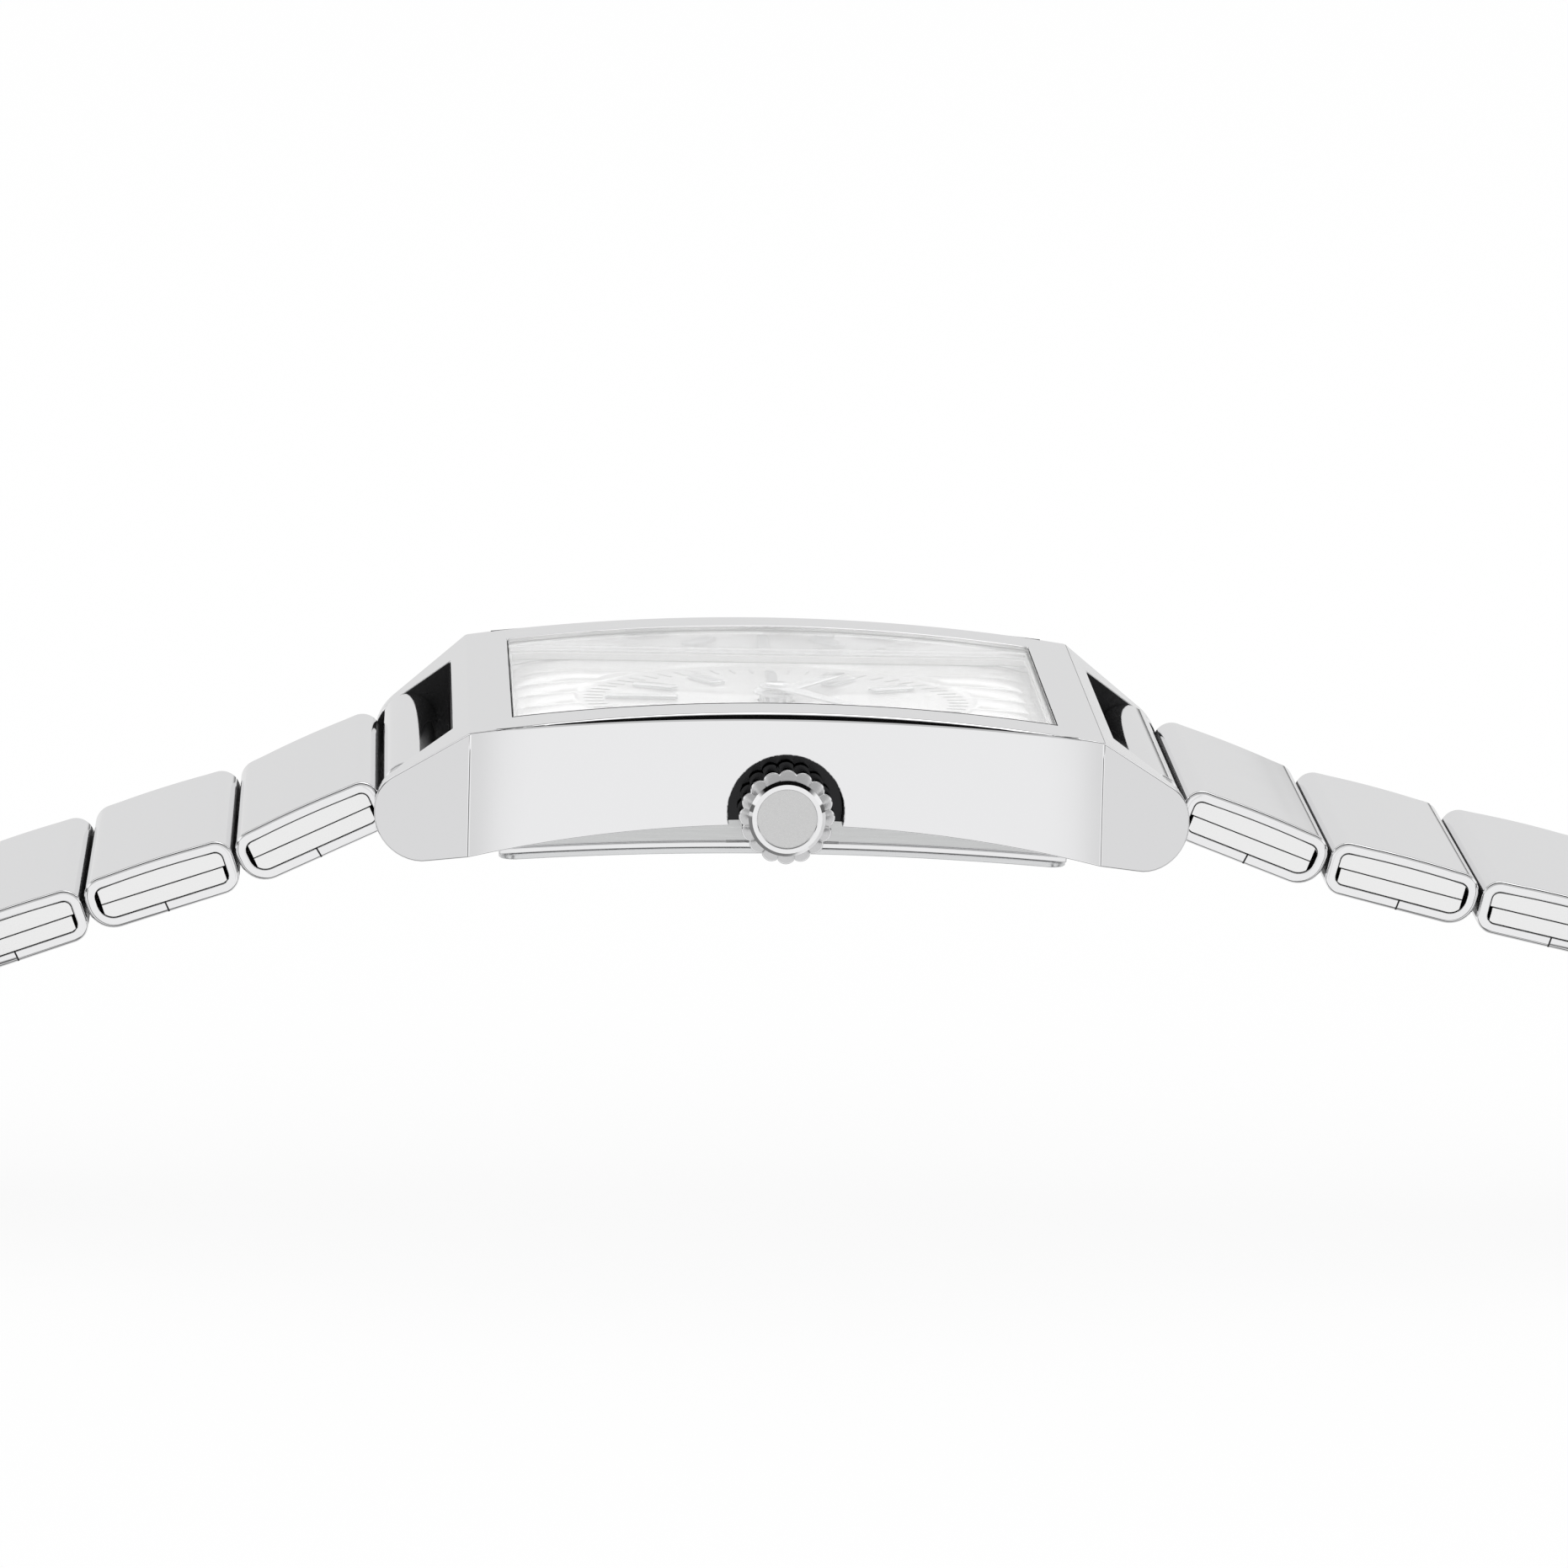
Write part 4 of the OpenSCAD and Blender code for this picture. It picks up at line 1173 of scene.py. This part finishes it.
@dataclass
class CrownParts:
    """Lobed crown with its raised rim and blasted disc, on its stem.

    Args:
        fit: Ties to the frame.
        axis_z: Height of the crown's axis.
        back: X of the lobes' inner end.
        front: X of their outer end.
        lobes: Number of lobes.
        lobe_r: Radius of a lobe.
        lobe_at: Radius of the circle that the lobes' middles lie on.
        edge: Rounding of the lobes' inner ends.
        brow: Rounding of their outer ends.
        cone_h: Height of the coned front round the rim.
        cone_w: Its width.
        face_r: Radius of the raised rim.
        face_h: Height of that rim.
        rim_outer: Chamfer of the rim's outer side.
        rim_inner: Rounding of its inner side.
        disc_r: Radius of the disc in it.
        disc_depth: Depth of the disc below the rim.
        bore_r: Radius of the hollow that turns round the tube.
        bore_end: X where that hollow ends.
        steps: Corners along one lobe's outline.
        rim_steps: Corners round the rim.
        root: Depth of the rim's foot in the lobes.
        overcut: How far the drill starts behind the lobes.
        facet_deg: Turn between two facets of the front that still shows as an edge.
        facing: Cosine to the crown's axis above which a face belongs to the front.
        stem_edge: Rounding of the stem.
    """

    fit: Fitting
    axis_z: float = 2.28
    back: float = 12.15
    front: float = 14.55
    lobes: int = 16
    lobe_r: float = 0.5
    lobe_at: float = 1.85
    edge: float = 0.2
    brow: float = 0.07
    cone_h: float = 0.17
    cone_w: float = 0.53
    face_r: float = 1.88
    face_h: float = 0.3
    rim_outer: float = 0.17
    rim_inner: float = 0.06
    disc_r: float = 1.45
    disc_depth: float = 0.12
    bore_r: float = 1.35
    bore_end: float = 14.0
    steps: int = 12
    rim_steps: int = 96
    root: float = 0.1
    overcut: float = 1.0
    facet_deg: float = 17.0
    facing: float = 0.8
    stem_edge: float = 0.05

    def build(self) -> None:
        """Make and dress the crown's parts."""
        put_on(self.fit.nodes["crown"], CASE_STEEL)
        self.fit.stand_for(self.body(), "crown")
        self.fit.stand_for(self.face(), "crown")
        self.fit.round_off("stem", MOVEMENT_STEEL, Rounder(self.stem_edge))

    def recipe(self) -> Recipe:
        """Build the tree of the lobed body.

        Returns:
            The tree, which sweeps a ring of lobes along the crown's axis and swells it by a mark.
        """
        made = Recipe("ring of lobes", "Lobe radius", "Ring radius")
        lobe, at = made.inputs["Lobe radius"], made.inputs["Ring radius"]
        count = self.lobes * self.steps
        circle = made.add("GeometryNodeCurvePrimitiveCircle", {"Resolution": count, "Radius": 1.0})
        index = made.add("GeometryNodeInputIndex")
        turn = made.add("ShaderNodeMath", {0: index, 1: 2 * math.pi / count}, operation="MULTIPLY")
        local = made.add("ShaderNodeMath", {0: turn, 1: math.pi / self.lobes}, operation="PINGPONG")
        sine = made.add("ShaderNodeMath", {0: local}, operation="SINE")
        cosine = made.add("ShaderNodeMath", {0: local}, operation="COSINE")
        off = made.add("ShaderNodeMath", {0: sine, 1: at}, operation="MULTIPLY")
        whole = made.add("ShaderNodeMath", {0: lobe, 1: lobe}, operation="MULTIPLY")
        part = made.add("ShaderNodeMath", {0: off, 1: off}, operation="MULTIPLY")
        rest = made.add("ShaderNodeMath", {0: whole, 1: part}, operation="SUBTRACT")
        beyond = made.add("ShaderNodeMath", {0: rest}, operation="SQRT")
        radius = made.add("ShaderNodeMath", {0: cosine, 1: at, 2: beyond}, operation="MULTIPLY_ADD")
        spot = made.add("GeometryNodeInputPosition")
        moved = made.add("ShaderNodeVectorMath", {0: spot, "Scale": radius}, operation="SCALE")
        lobed = made.add("GeometryNodeSetPosition", {"Geometry": circle, "Position": moved})
        path = made.add("GeometryNodeMeshToCurve", {"Mesh": made.inputs["Geometry"]})
        swell = made.add("GeometryNodeInputNamedAttribute", {"Name": "swell"}, data_type="FLOAT")
        swept = made.add("GeometryNodeCurveToMesh", {
            "Curve": path, "Profile Curve": lobed, "Scale": swell, "Fill Caps": True})
        made.close(swept, CASE_STEEL)
        return made

    def body(self) -> Piece:
        """Make the lobed body.

        Returns:
            The body, with the hollow that turns round the tube.
        """
        reach = self.lobe_at + self.lobe_r
        shape = [(self.back + self.edge * a, self.edge * b) for a, b in corner()]
        brink = self.front - self.cone_h
        shape += [(brink - self.brow * b, self.brow * a) for a, b in corner()]
        shape.append((self.front, self.cone_w))
        line = wire("crown axis", [(x, 0, self.axis_z) for x, _ in shape],
                    swell=[1 - cut / reach for _, cut in shape])
        piece = self.recipe().grow(
            "crown_lobes", line, **{"Lobe radius": self.lobe_r, "Ring radius": self.lobe_at})
        mid = (self.back - self.overcut + self.bore_end) / 2
        carve(piece, prism("hollow", ring((0, self.axis_z), self.bore_r), self.bore_end - mid, mid))
        dress_faces(piece, SATIN_STEEL, lambda middle, normal: middle.x > brink and normal.x > self.facing)
        return shade(piece, self.facet_deg)

    def face(self) -> Piece:
        """Turn the raised rim round the blasted disc.

        Returns:
            The rim and disc, one piece with two finishes.
        """
        top, outer, inner = self.front + self.face_h, self.rim_outer, self.rim_inner
        line = [(self.front - self.root, 0.0), (self.front - self.root, self.face_r)]
        line += [(top - outer, self.face_r), (top, self.face_r - outer)]
        line += [(top - inner * a, self.disc_r + inner * b) for a, b in corner()]
        line += [(top - self.disc_depth, self.disc_r), (top - self.disc_depth, 0.0)]
        steps, rows = self.rim_steps, len(line) - 1
        corners = []
        for x, radius in line:
            circle = ring((0, self.axis_z), radius, steps)
            corners += [(x, y, z) for y, z in circle]
        faces = [(k * steps + i, k * steps + (i + 1) % steps, (k + 1) * steps + (i + 1) % steps,
                  (k + 1) * steps + i) for k in range(rows) for i in range(steps)]
        disc = [int(k == rows - 1) for k in range(rows) for _ in range(steps)]
        piece = new_piece("crown_face", closed_mesh("crown_face", corners, faces, disc, weld_mm=0.0001))
        put_on(piece, CASE_STEEL, BLASTED_STEEL)
        return shade(piece)


@dataclass
class DialParts:
    """Ribbed dial with its minute track, applied markers and hands.

    Args:
        fit: Ties to the frame.
        half_w: Half width of the dial plate.
        half_l: Its half length.
        top: Height of its upper face.
        thick: Its thickness.
        ribs: Number of ribs.
        field_w: Width of them all.
        rib_h: Height of a rib.
        rib_end: Half length of the ribbed field.
        roll: Length over which the ribs and the plate fall away at both ends.
        fall: How far the plate falls there.
        oval_w: Half width of the smooth oval.
        oval_l: Its half length.
        oval_edge: Where the ribs are full again, as a share of the oval.
        track_w: Half width of the ellipse that the minute track follows.
        track_l: Its half length.
        tick: Width, length and thickness of a minute's line.
        hub_hole: Radius of the hole for the hands.
        hub_sides: Sides of that hole.
        drill_l: Length of the drill for it.
        grid_mm: Spacing of the plate's grid.
        weld_mm: Corners closer than this become one.
        edges: Rounding of the small parts.
    """

    fit: Fitting
    half_w: float = 10.42
    half_l: float = 13.32
    top: float = 4.35
    thick: float = 0.4
    ribs: int = 7
    field_w: float = 20.2
    rib_h: float = 0.17
    rib_end: float = 13.0
    roll: float = 3.4
    fall: float = 0.34
    oval_w: float = 9.25
    oval_l: float = 9.8
    oval_edge: float = 1.03
    track_w: float = 7.7
    track_l: float = 9.1
    tick: tuple[float, float, float] = (0.12, 0.95, 0.02)
    hub_hole: float = 0.94
    hub_sides: int = 48
    drill_l: float = 4.0
    grid_mm: float = 0.11
    weld_mm: float = 0.001
    edges: dict[str, float] = field(default_factory=lambda: {
        "hour_markers": 0.05, "hour_hand": 0.04, "minute_hand": 0.04, "cannon_pinion": 0.08,
        "hour_wheel": 0.03})

    def build(self) -> None:
        """Make and dress the dial's parts."""
        lengths = {
            "Half width": self.half_w, "Half length": self.half_l, "Thickness": self.thick,
            "Rib width": self.field_w / self.ribs, "Rib height": self.rib_h, "Rib end": self.rib_end,
            "Roll": self.roll, "Fall": self.fall, "Oval width": self.oval_w, "Oval length": self.oval_l,
            "Base": self.top - self.thick, "Hole": self.hub_hole}
        plate = self.plate_recipe(lengths).grow("dial_relief", **lengths)
        put_on(self.fit.nodes["dial"], SILVERED)
        self.fit.stand_for(shade(plate), "dial")
        line_w, line_l, line_t = self.tick
        lengths = {
            "Half width": self.track_w, "Half length": self.track_l, "Line width": line_w,
            "Line length": line_l, "Thickness": line_t, "Height": self.top + line_t / 2}
        track = self.track_recipe(lengths).grow("minute_track", **lengths)
        self.fit.join(track, "dial")
        for node, edge in self.edges.items():
            self.fit.round_off(node, APPLIED, Rounder(edge))

    def plate_recipe(self, names: Iterable[str]) -> Recipe:
        """Build the tree of the plate.

        Args:
            names: Names of its inputs.

        Returns:
            The tree, whose ribs end in soft rolls and leave an oval smooth.
        """
        made = Recipe("ribbed plate", *names)
        size = made.inputs
        width = made.add("ShaderNodeMath", {0: size["Half width"], 1: 2.0}, operation="MULTIPLY")
        length = made.add("ShaderNodeMath", {0: size["Half length"], 1: 2.0}, operation="MULTIPLY")
        grid = made.add("GeometryNodeMeshGrid", {
            "Size X": width, "Size Y": length,
            "Vertices X": round(2 * self.half_w / self.grid_mm),
            "Vertices Y": round(2 * self.half_l / self.grid_mm)})
        lift = made.add("ShaderNodeCombineXYZ", {"Z": size["Thickness"]})
        raised = made.add("GeometryNodeExtrudeMesh", {
            "Mesh": grid, "Offset": lift, "Offset Scale": 1.0, "Individual": False}, mode="FACES")
        under = made.add("GeometryNodeFlipFaces", {"Mesh": grid})
        both = made.add("GeometryNodeJoinGeometry", {0: [raised, under]})
        closed = made.add("GeometryNodeMergeByDistance", {"Geometry": both, "Distance": self.weld_mm * MM})
        up = made.add("ShaderNodeSeparateXYZ", {0: made.add("GeometryNodeInputPosition")}).outputs["Z"]
        level = made.add("ShaderNodeMath", {0: size["Thickness"], 1: 2.0}, operation="DIVIDE")
        upper = made.add("FunctionNodeCompare", {
            0: up, 1: level}, data_type="FLOAT", operation="GREATER_THAN")
        ribbed = made.add("GeometryNodeSetPosition", {
            "Geometry": closed, "Selection": upper, "Offset": self.relief(made)})
        drill = made.add("GeometryNodeMeshCylinder", {
            "Vertices": self.hub_sides, "Radius": size["Hole"], "Depth": self.drill_l * MM})
        holed = made.add("GeometryNodeMeshBoolean", {
            "Mesh 1": ribbed, "Mesh 2": drill}, operation="DIFFERENCE", solver="MANIFOLD")
        base = made.add("ShaderNodeCombineXYZ", {"Z": size["Base"]})
        placed = made.add("GeometryNodeTransform", {"Geometry": holed, "Translation": base})
        made.close(placed, SILVERED)
        return made

    def relief(self, made: Recipe) -> Node:
        """Work out how the plate's upper face rises and falls.

        Args:
            made: Tree of the plate.

        Returns:
            Offset of every spot on that face.
        """
        size = made.inputs
        spot = made.add("GeometryNodeInputPosition")
        axes = made.add("ShaderNodeSeparateXYZ", {0: spot}).outputs
        half_rib = made.add("ShaderNodeMath", {0: size["Rib width"], 1: 2.0}, operation="DIVIDE")
        off = made.add("ShaderNodeMath", {0: axes["X"], 1: half_rib}, operation="PINGPONG")
        part = made.add("ShaderNodeMath", {0: off, 1: half_rib}, operation="DIVIDE")
        square = made.add("ShaderNodeMath", {0: part, 1: 2.0}, operation="POWER")
        rib = made.add("ShaderNodeMath", {0: 1.0, 1: square}, operation="SUBTRACT")
        away = made.add("ShaderNodeMath", {0: axes["Y"]}, operation="ABSOLUTE")
        start = made.add("ShaderNodeMath", {0: size["Rib end"], 1: size["Roll"]}, operation="SUBTRACT")
        rolled = made.add("ShaderNodeMapRange", {
            "Value": away, "From Min": start, "From Max": size["Rib end"], "To Min": 0.0, "To Max": 1.0})
        bent = made.add("ShaderNodeMath", {0: rolled, 1: 2.0}, operation="POWER")
        end = made.add("ShaderNodeMath", {0: 1.0, 1: bent}, operation="SUBTRACT")
        oval = made.add("ShaderNodeCombineXYZ", {"X": size["Oval width"], "Y": size["Oval length"], "Z": FAR})
        scaled = made.add("ShaderNodeVectorMath", {0: spot, 1: oval}, operation="DIVIDE")
        out = made.add("ShaderNodeVectorMath", {0: scaled}, operation="LENGTH").outputs["Value"]
        mask = made.add("ShaderNodeMapRange", {
            "Value": out, "From Min": 1.0, "From Max": self.oval_edge, "To Min": 0.0, "To Max": 1.0},
            interpolation_type="SMOOTHSTEP")
        reach = made.add("ShaderNodeMath", {0: size["Rib width"], 1: self.ribs / 2}, operation="MULTIPLY")
        across = made.add("ShaderNodeMath", {0: axes["X"]}, operation="ABSOLUTE")
        within = made.add("ShaderNodeMath", {0: across, 1: reach}, operation="LESS_THAN")
        height = size["Rib height"]
        for share in (rib, end, mask, within):
            height = made.add("ShaderNodeMath", {0: height, 1: share}, operation="MULTIPLY")
        drop = made.add("ShaderNodeMath", {0: bent, 1: size["Fall"]}, operation="MULTIPLY")
        net = made.add("ShaderNodeMath", {0: height, 1: drop}, operation="SUBTRACT")
        return made.add("ShaderNodeCombineXYZ", {"Z": net})

    def track_recipe(self, names: Iterable[str]) -> Recipe:
        """Build the tree of the minute track.

        Args:
            names: Names of its inputs.

        Returns:
            The tree, which prints a line at each minute, pointing to the centre.
        """
        made = Recipe("minute track", *names)
        size = made.inputs
        index = made.add("GeometryNodeInputIndex")
        turn = made.add("ShaderNodeMath", {0: index, 1: 2 * math.pi / MINUTES}, operation="MULTIPLY")
        sine = made.add("ShaderNodeMath", {0: turn}, operation="SINE")
        cosine = made.add("ShaderNodeMath", {0: turn}, operation="COSINE")
        x = made.add("ShaderNodeMath", {0: sine, 1: size["Half width"]}, operation="MULTIPLY")
        y = made.add("ShaderNodeMath", {0: cosine, 1: size["Half length"]}, operation="MULTIPLY")
        spot = made.add("ShaderNodeCombineXYZ", {"X": x, "Y": y, "Z": size["Height"]})
        points = made.add("GeometryNodePoints", {"Count": MINUTES, "Position": spot})
        aim = made.add("ShaderNodeMath", {0: y, 1: x}, operation="ARCTAN2")
        upright = made.add("ShaderNodeMath", {0: aim, 1: math.pi / 2}, operation="SUBTRACT")
        rotation = made.add("ShaderNodeCombineXYZ", {"Z": upright})
        block = made.add("ShaderNodeCombineXYZ", {
            "X": size["Line width"], "Y": size["Line length"], "Z": size["Thickness"]})
        line = made.add("GeometryNodeMeshCube", {"Size": block})
        laid = made.add("GeometryNodeInstanceOnPoints", {
            "Points": points, "Instance": line, "Rotation": rotation})
        made.close(laid, INK)
        return made


@dataclass
class Movement:
    """The quartz movement's plates, cell, coil and board in their holder.

    Args:
        fit: Ties to the frame.
        edge: Rounding of its parts.
        finishes: Finish of each part.
    """

    fit: Fitting
    edge: float = 0.04
    finishes: dict[str, Finish] = field(default_factory=lambda: {
        "movement_holder": HOLDER_PLASTIC, "main_plate": PLATE_BRASS, "bridge_plate": MOVEMENT_STEEL,
        "battery": CELL_STEEL, "coil": WINDING, "circuit_board": BOARD})

    def build(self) -> None:
        """Dress the movement."""
        for node, finish in self.finishes.items():
            self.fit.round_off(node, finish, Rounder(self.edge))


@dataclass
class Bracelet:
    """Links of a rolled sheet round a folded strip, on their hinges.

    Args:
        fit: Ties to the frame.
        width: Of the links.
        pitch: From hinge to hinge.
        half_t: Half thickness of a link.
        sheet_t: Thickness of the rolled sheet.
        inner_u: From a hinge to the link's own start.
        corner_r: Outer radius of the corners toward the case.
        nose_r: Outer radius of the upper corner away from the case.
        crown: How far the top is crowned.
        seam_at: From the link's start to the seam.
        seam_w: Width of the seam.
        seam_slant: How far the seam leans, as a share of the sheet's thickness.
        seam_inset: How far the seam's dark fill, which paints its shade, stays inside the sheet.
        outer_edge: Rounding of the sheet's outer edges.
        inner_edge: Rounding of its edges round the window.
        end_edge: Rounding of the end links.
        strip_edge: Rounding of the folded strips.
        gap_facing: Cosine of the angle to the strand within which a face lies in a gap and gets painted
            shade.
        notch_w: Width of the openings for the hinge tongue.
        tongue_low: From the hinge down to the tongue's underside.
        tongue_t: Thickness of the tongue.
        play: Room above and below the tongue in its opening.
        overcut: How far a cutter starts outside the sheet.
        clear: How far it reaches into the link.
        seam_overcut: How far the seam's cutter reaches past both faces.
        swing_r: Reach of the cutter for the outer opening.
        swing: Degrees below the next link at which that cutter's corners lie.
        arch_steps: Straight parts of the crowned top.
        bend_steps: Parts of a bend.
        edge_steps: Parts of a rounded edge.
        fold_deg: Edges of the sheet that turn by more than this stay sharp in the shading.
        bar_y: Distance of the spring bars from the middle.
        bar_z: Their height.
        slopes: Slope of each link below level, from the case outward.
    """

    fit: Fitting
    width: float = 17.9
    pitch: float = 7.85
    half_t: float = 1.35
    sheet_t: float = 0.53
    inner_u: float = 1.5
    corner_r: float = 0.95
    nose_r: float = 1.0
    crown: float = 0.08
    seam_at: float = 3.9
    seam_w: float = 0.085
    seam_slant: float = 0.1
    seam_inset: float = 0.03
    outer_edge: float = 0.18
    inner_edge: float = 0.04
    end_edge: float = 0.12
    strip_edge: float = 0.03
    gap_facing: float = 0.94
    notch_w: float = 7.44
    tongue_low: float = 0.58
    tongue_t: float = 0.45
    play: float = 0.06
    overcut: float = 1.0
    clear: float = 0.2
    seam_overcut: float = 0.1
    swing_r: float = 3.0
    swing: tuple[float, float, float] = (90, 46.5, 3)
    arch_steps: int = 10
    bend_steps: int = 10
    edge_steps: int = 5
    fold_deg: float = 35.0
    bar_y: float = 18.35
    bar_z: float = 2.33
    slopes: dict[Strand, tuple[float, ...]] = field(default_factory=lambda: {
        Strand.LOWER: (25.5, 18.8, 19.8, 20.3, 21, 21.8, 22.6, 23.4),
        Strand.UPPER: (20.8, 14.1, 12.6, 13.5, 15, 17, 22.976)})

    def build(self) -> None:
        """Make and dress both strands."""
        recipe = self.recipe()
        for strand, slopes in self.slopes.items():
            self.fit.round_off(f"{strand.prefix}_end_link", LINK_STEEL,
                               Rounder(self.end_edge, steps=4, weld_mm=0.03, full=True))
            for n in range(1, len(slopes)):
                node = f"{strand.prefix}_link_{n}"
                put_on(self.fit.nodes[f"{node}_shell"], LINK_STEEL)
                shell = self.shell(recipe, strand, n)
                slope = math.radians(slopes[n - 1])
                along = Vector((0, strand.value * math.cos(slope), -math.sin(slope)))
                # Faces deep in the gaps between links get painted shade.
                dress_faces(shell, GAP_SHADE_STEEL, lambda _, normal: abs(normal @ along) > self.gap_facing)
                self.fit.stand_for(shell, f"{node}_shell")
                # A dark prism in the seam paints the shade inside its slot.
                fill = self.slit(self.laid(strand, n), 0.0, -self.seam_inset)
                seam = prism(f"{node}_seam", fill, self.width / 2 - self.seam_inset)
                put_on(seam, SEAM_SHADE)
                self.fit.join(seam, f"{node}_shell")
                self.fit.round_off(f"{node}_strip", STRIP_STEEL,
                                   Rounder(self.strip_edge, steps=2, weld_mm=0.02, full=True))

    def laid(self, strand: Strand, n: int) -> Place:
        """Work out where a link lies.

        Args:
            strand: Half of the bracelet.
            n: Number of the link, from 1 at the case.

        Returns:
            The map from the link's own length and height to Y and Z.
        """
        y0, z0 = self.bar_y, self.bar_z
        for slope in self.slopes[strand][: n - 1]:
            y0 += self.pitch * math.cos(math.radians(slope))
            z0 -= self.pitch * math.sin(math.radians(slope))
        slope = math.radians(self.slopes[strand][n - 1])

        def place(u: float, v: float) -> Spot:
            """Turn a link's length and height to Y and Z."""
            y = y0 + u * math.cos(slope) + v * math.sin(slope)
            return strand.value * y, z0 - u * math.sin(slope) + v * math.cos(slope)

        return place

    def recipe(self) -> Recipe:
        """Build the tree of the shells.

        Returns:
            The tree, which bends a sheet round its middle line and rounds its edges.
        """
        made = Recipe("rolled sheet", "Sheet thickness", "Width", "Outer edge", "Inner edge")
        size = made.inputs
        path = made.add("GeometryNodeMeshToCurve", {"Mesh": size["Geometry"]})
        bend = made.add("GeometryNodeInputNamedAttribute", {"Name": "bend"}, data_type="FLOAT")
        bent = made.add("GeometryNodeFilletCurve", {
            "Curve": path, "Radius": bend, "Limit Radius": True, "Count": self.bend_steps}, mode="POLY")
        across = made.add("GeometryNodeSetCurveNormal", {
            "Curve": bent, "Normal": (1.0, 0.0, 0.0)}, mode="FREE")
        strip = made.add("GeometryNodeCurvePrimitiveQuadrilateral", {
            "Width": size["Width"], "Height": size["Sheet thickness"]})
        axes = made.add("ShaderNodeSeparateXYZ", {0: made.add("GeometryNodeInputPosition")}).outputs
        outer = made.add("FunctionNodeCompare", {
            0: axes["Y"], 1: 0.0}, data_type="FLOAT", operation="LESS_THAN")
        easing = made.add("GeometryNodeSwitch", {
            "Switch": outer, "False": size["Inner edge"], "True": size["Outer edge"]}, input_type="FLOAT")
        eased = made.add("GeometryNodeFilletCurve", {
            "Curve": strip, "Radius": easing, "Count": self.edge_steps}, mode="POLY")
        swept = made.add("GeometryNodeCurveToMesh", {"Curve": across, "Profile Curve": eased})
        made.close(swept, LINK_STEEL)
        return made

    def shell(self, recipe: Recipe, strand: Strand, n: int) -> Piece:
        """Make one link's rolled sheet.

        Args:
            recipe: Tree that bends the sheet.
            strand: Half of the bracelet.
            n: Number of the link.

        Returns:
            The shell with its two openings for the tongues.
        """
        place = self.laid(strand, n)
        mid = self.sheet_t / 2
        reach = self.half_t - mid
        start, end = self.inner_u + mid, self.pitch + reach
        line = [(end, -reach, reach), (end, reach, self.nose_r - mid)]
        first, last = self.inner_u + self.corner_r, self.pitch + self.half_t - self.nose_r
        for t in (i / self.arch_steps for i in range(self.arch_steps - 1, 0, -1)):
            line.append((first + t * (last - first), reach + 4 * self.crown * t * (1 - t), 0.0))
        line += [(start, reach, self.corner_r - mid), (start, -reach, self.corner_r - mid)]
        if strand is Strand.UPPER:
            line.reverse()
        base = wire("sheet line", [(0, *place(u, v)) for u, v, _ in line], closed=True,
                    bend=[r * MM for _, _, r in line])
        piece = recipe.grow(f"{strand.prefix}_link_{n}_sheet", base, **{
            "Sheet thickness": self.sheet_t, "Width": self.width,
            "Outer edge": self.outer_edge, "Inner edge": self.inner_edge})
        low = -self.tongue_low - self.play
        high = low + self.tongue_t + 2 * self.play
        front, deep = self.inner_u - self.overcut, self.inner_u + self.sheet_t + self.clear
        inner = [place(u, v) for u, v in ((front, low), (deep, low), (deep, high), (front, high))]
        rest = self.slopes[strand][n] - self.slopes[strand][n - 1]
        turns = [math.radians(-rest - below) for below in self.swing]
        outer = [place(self.pitch, 0)]
        outer += [place(self.pitch + self.swing_r * math.cos(a), self.swing_r * math.sin(a)) for a in turns]
        carve(piece, prism("inner opening", inner, self.notch_w / 2),
              prism("outer opening", outer, self.notch_w / 2),
              prism("slit", self.slit(place, self.seam_overcut, self.seam_overcut), self.width))
        return shade(piece, self.fold_deg)

    def slit(self, place: Place, above: float, below: float) -> list[Spot]:
        """Outline the slanted seam between the sheet's ends.

        Args:
            place: Map of the link.
            above: How far it reaches over the sheet's inner face.
            below: How far it reaches under the outer face.

        Returns:
            Y and Z of its corners.
        """
        seam = self.inner_u + self.seam_at
        top, low = self.sheet_t - self.half_t + above, -self.half_t - below
        shift = self.seam_slant * (low - top)
        return [place(u, v) for u, v in (
            (seam, top), (seam + self.seam_w, top), (seam + shift + self.seam_w, low), (seam + shift, low))]


@dataclass
class Clasp:
    """Hook, pressed cover and catch at the bracelet's ends.

    Args:
        fit: Ties to the frame.
        outer_edge: Rounding of the parts that are seen when it is shut.
        inner_edge: Rounding of the others.
    """

    fit: Fitting
    outer_edge: float = 0.1
    inner_edge: float = 0.06

    def build(self) -> None:
        """Dress the clasp and its catch."""
        for node in ("catch_link", "catch_bar", "clasp_cover"):
            self.fit.round_off(node, LINK_STEEL, Rounder(self.outer_edge))
        for node in ("clasp_blade", "clasp_hinge_pin"):
            self.fit.round_off(node, STRIP_STEEL, Rounder(self.inner_edge))


def main() -> None:
    """Build the scene around the frame."""
    logging.basicConfig(level=logging.INFO, format="%(name)s: %(message)s")
    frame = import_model()
    cad_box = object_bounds()
    bpy.context.scene.view_settings.view_transform = "Standard"
    Studio().build(cad_box[0].z)
    fit = Fitting(frame)
    for part in (CaseParts(fit), CrownParts(fit), DialParts(fit), Movement(fit), Bracelet(fit), Clasp(fit)):
        part.build()


if __name__ == "__main__":
    main()
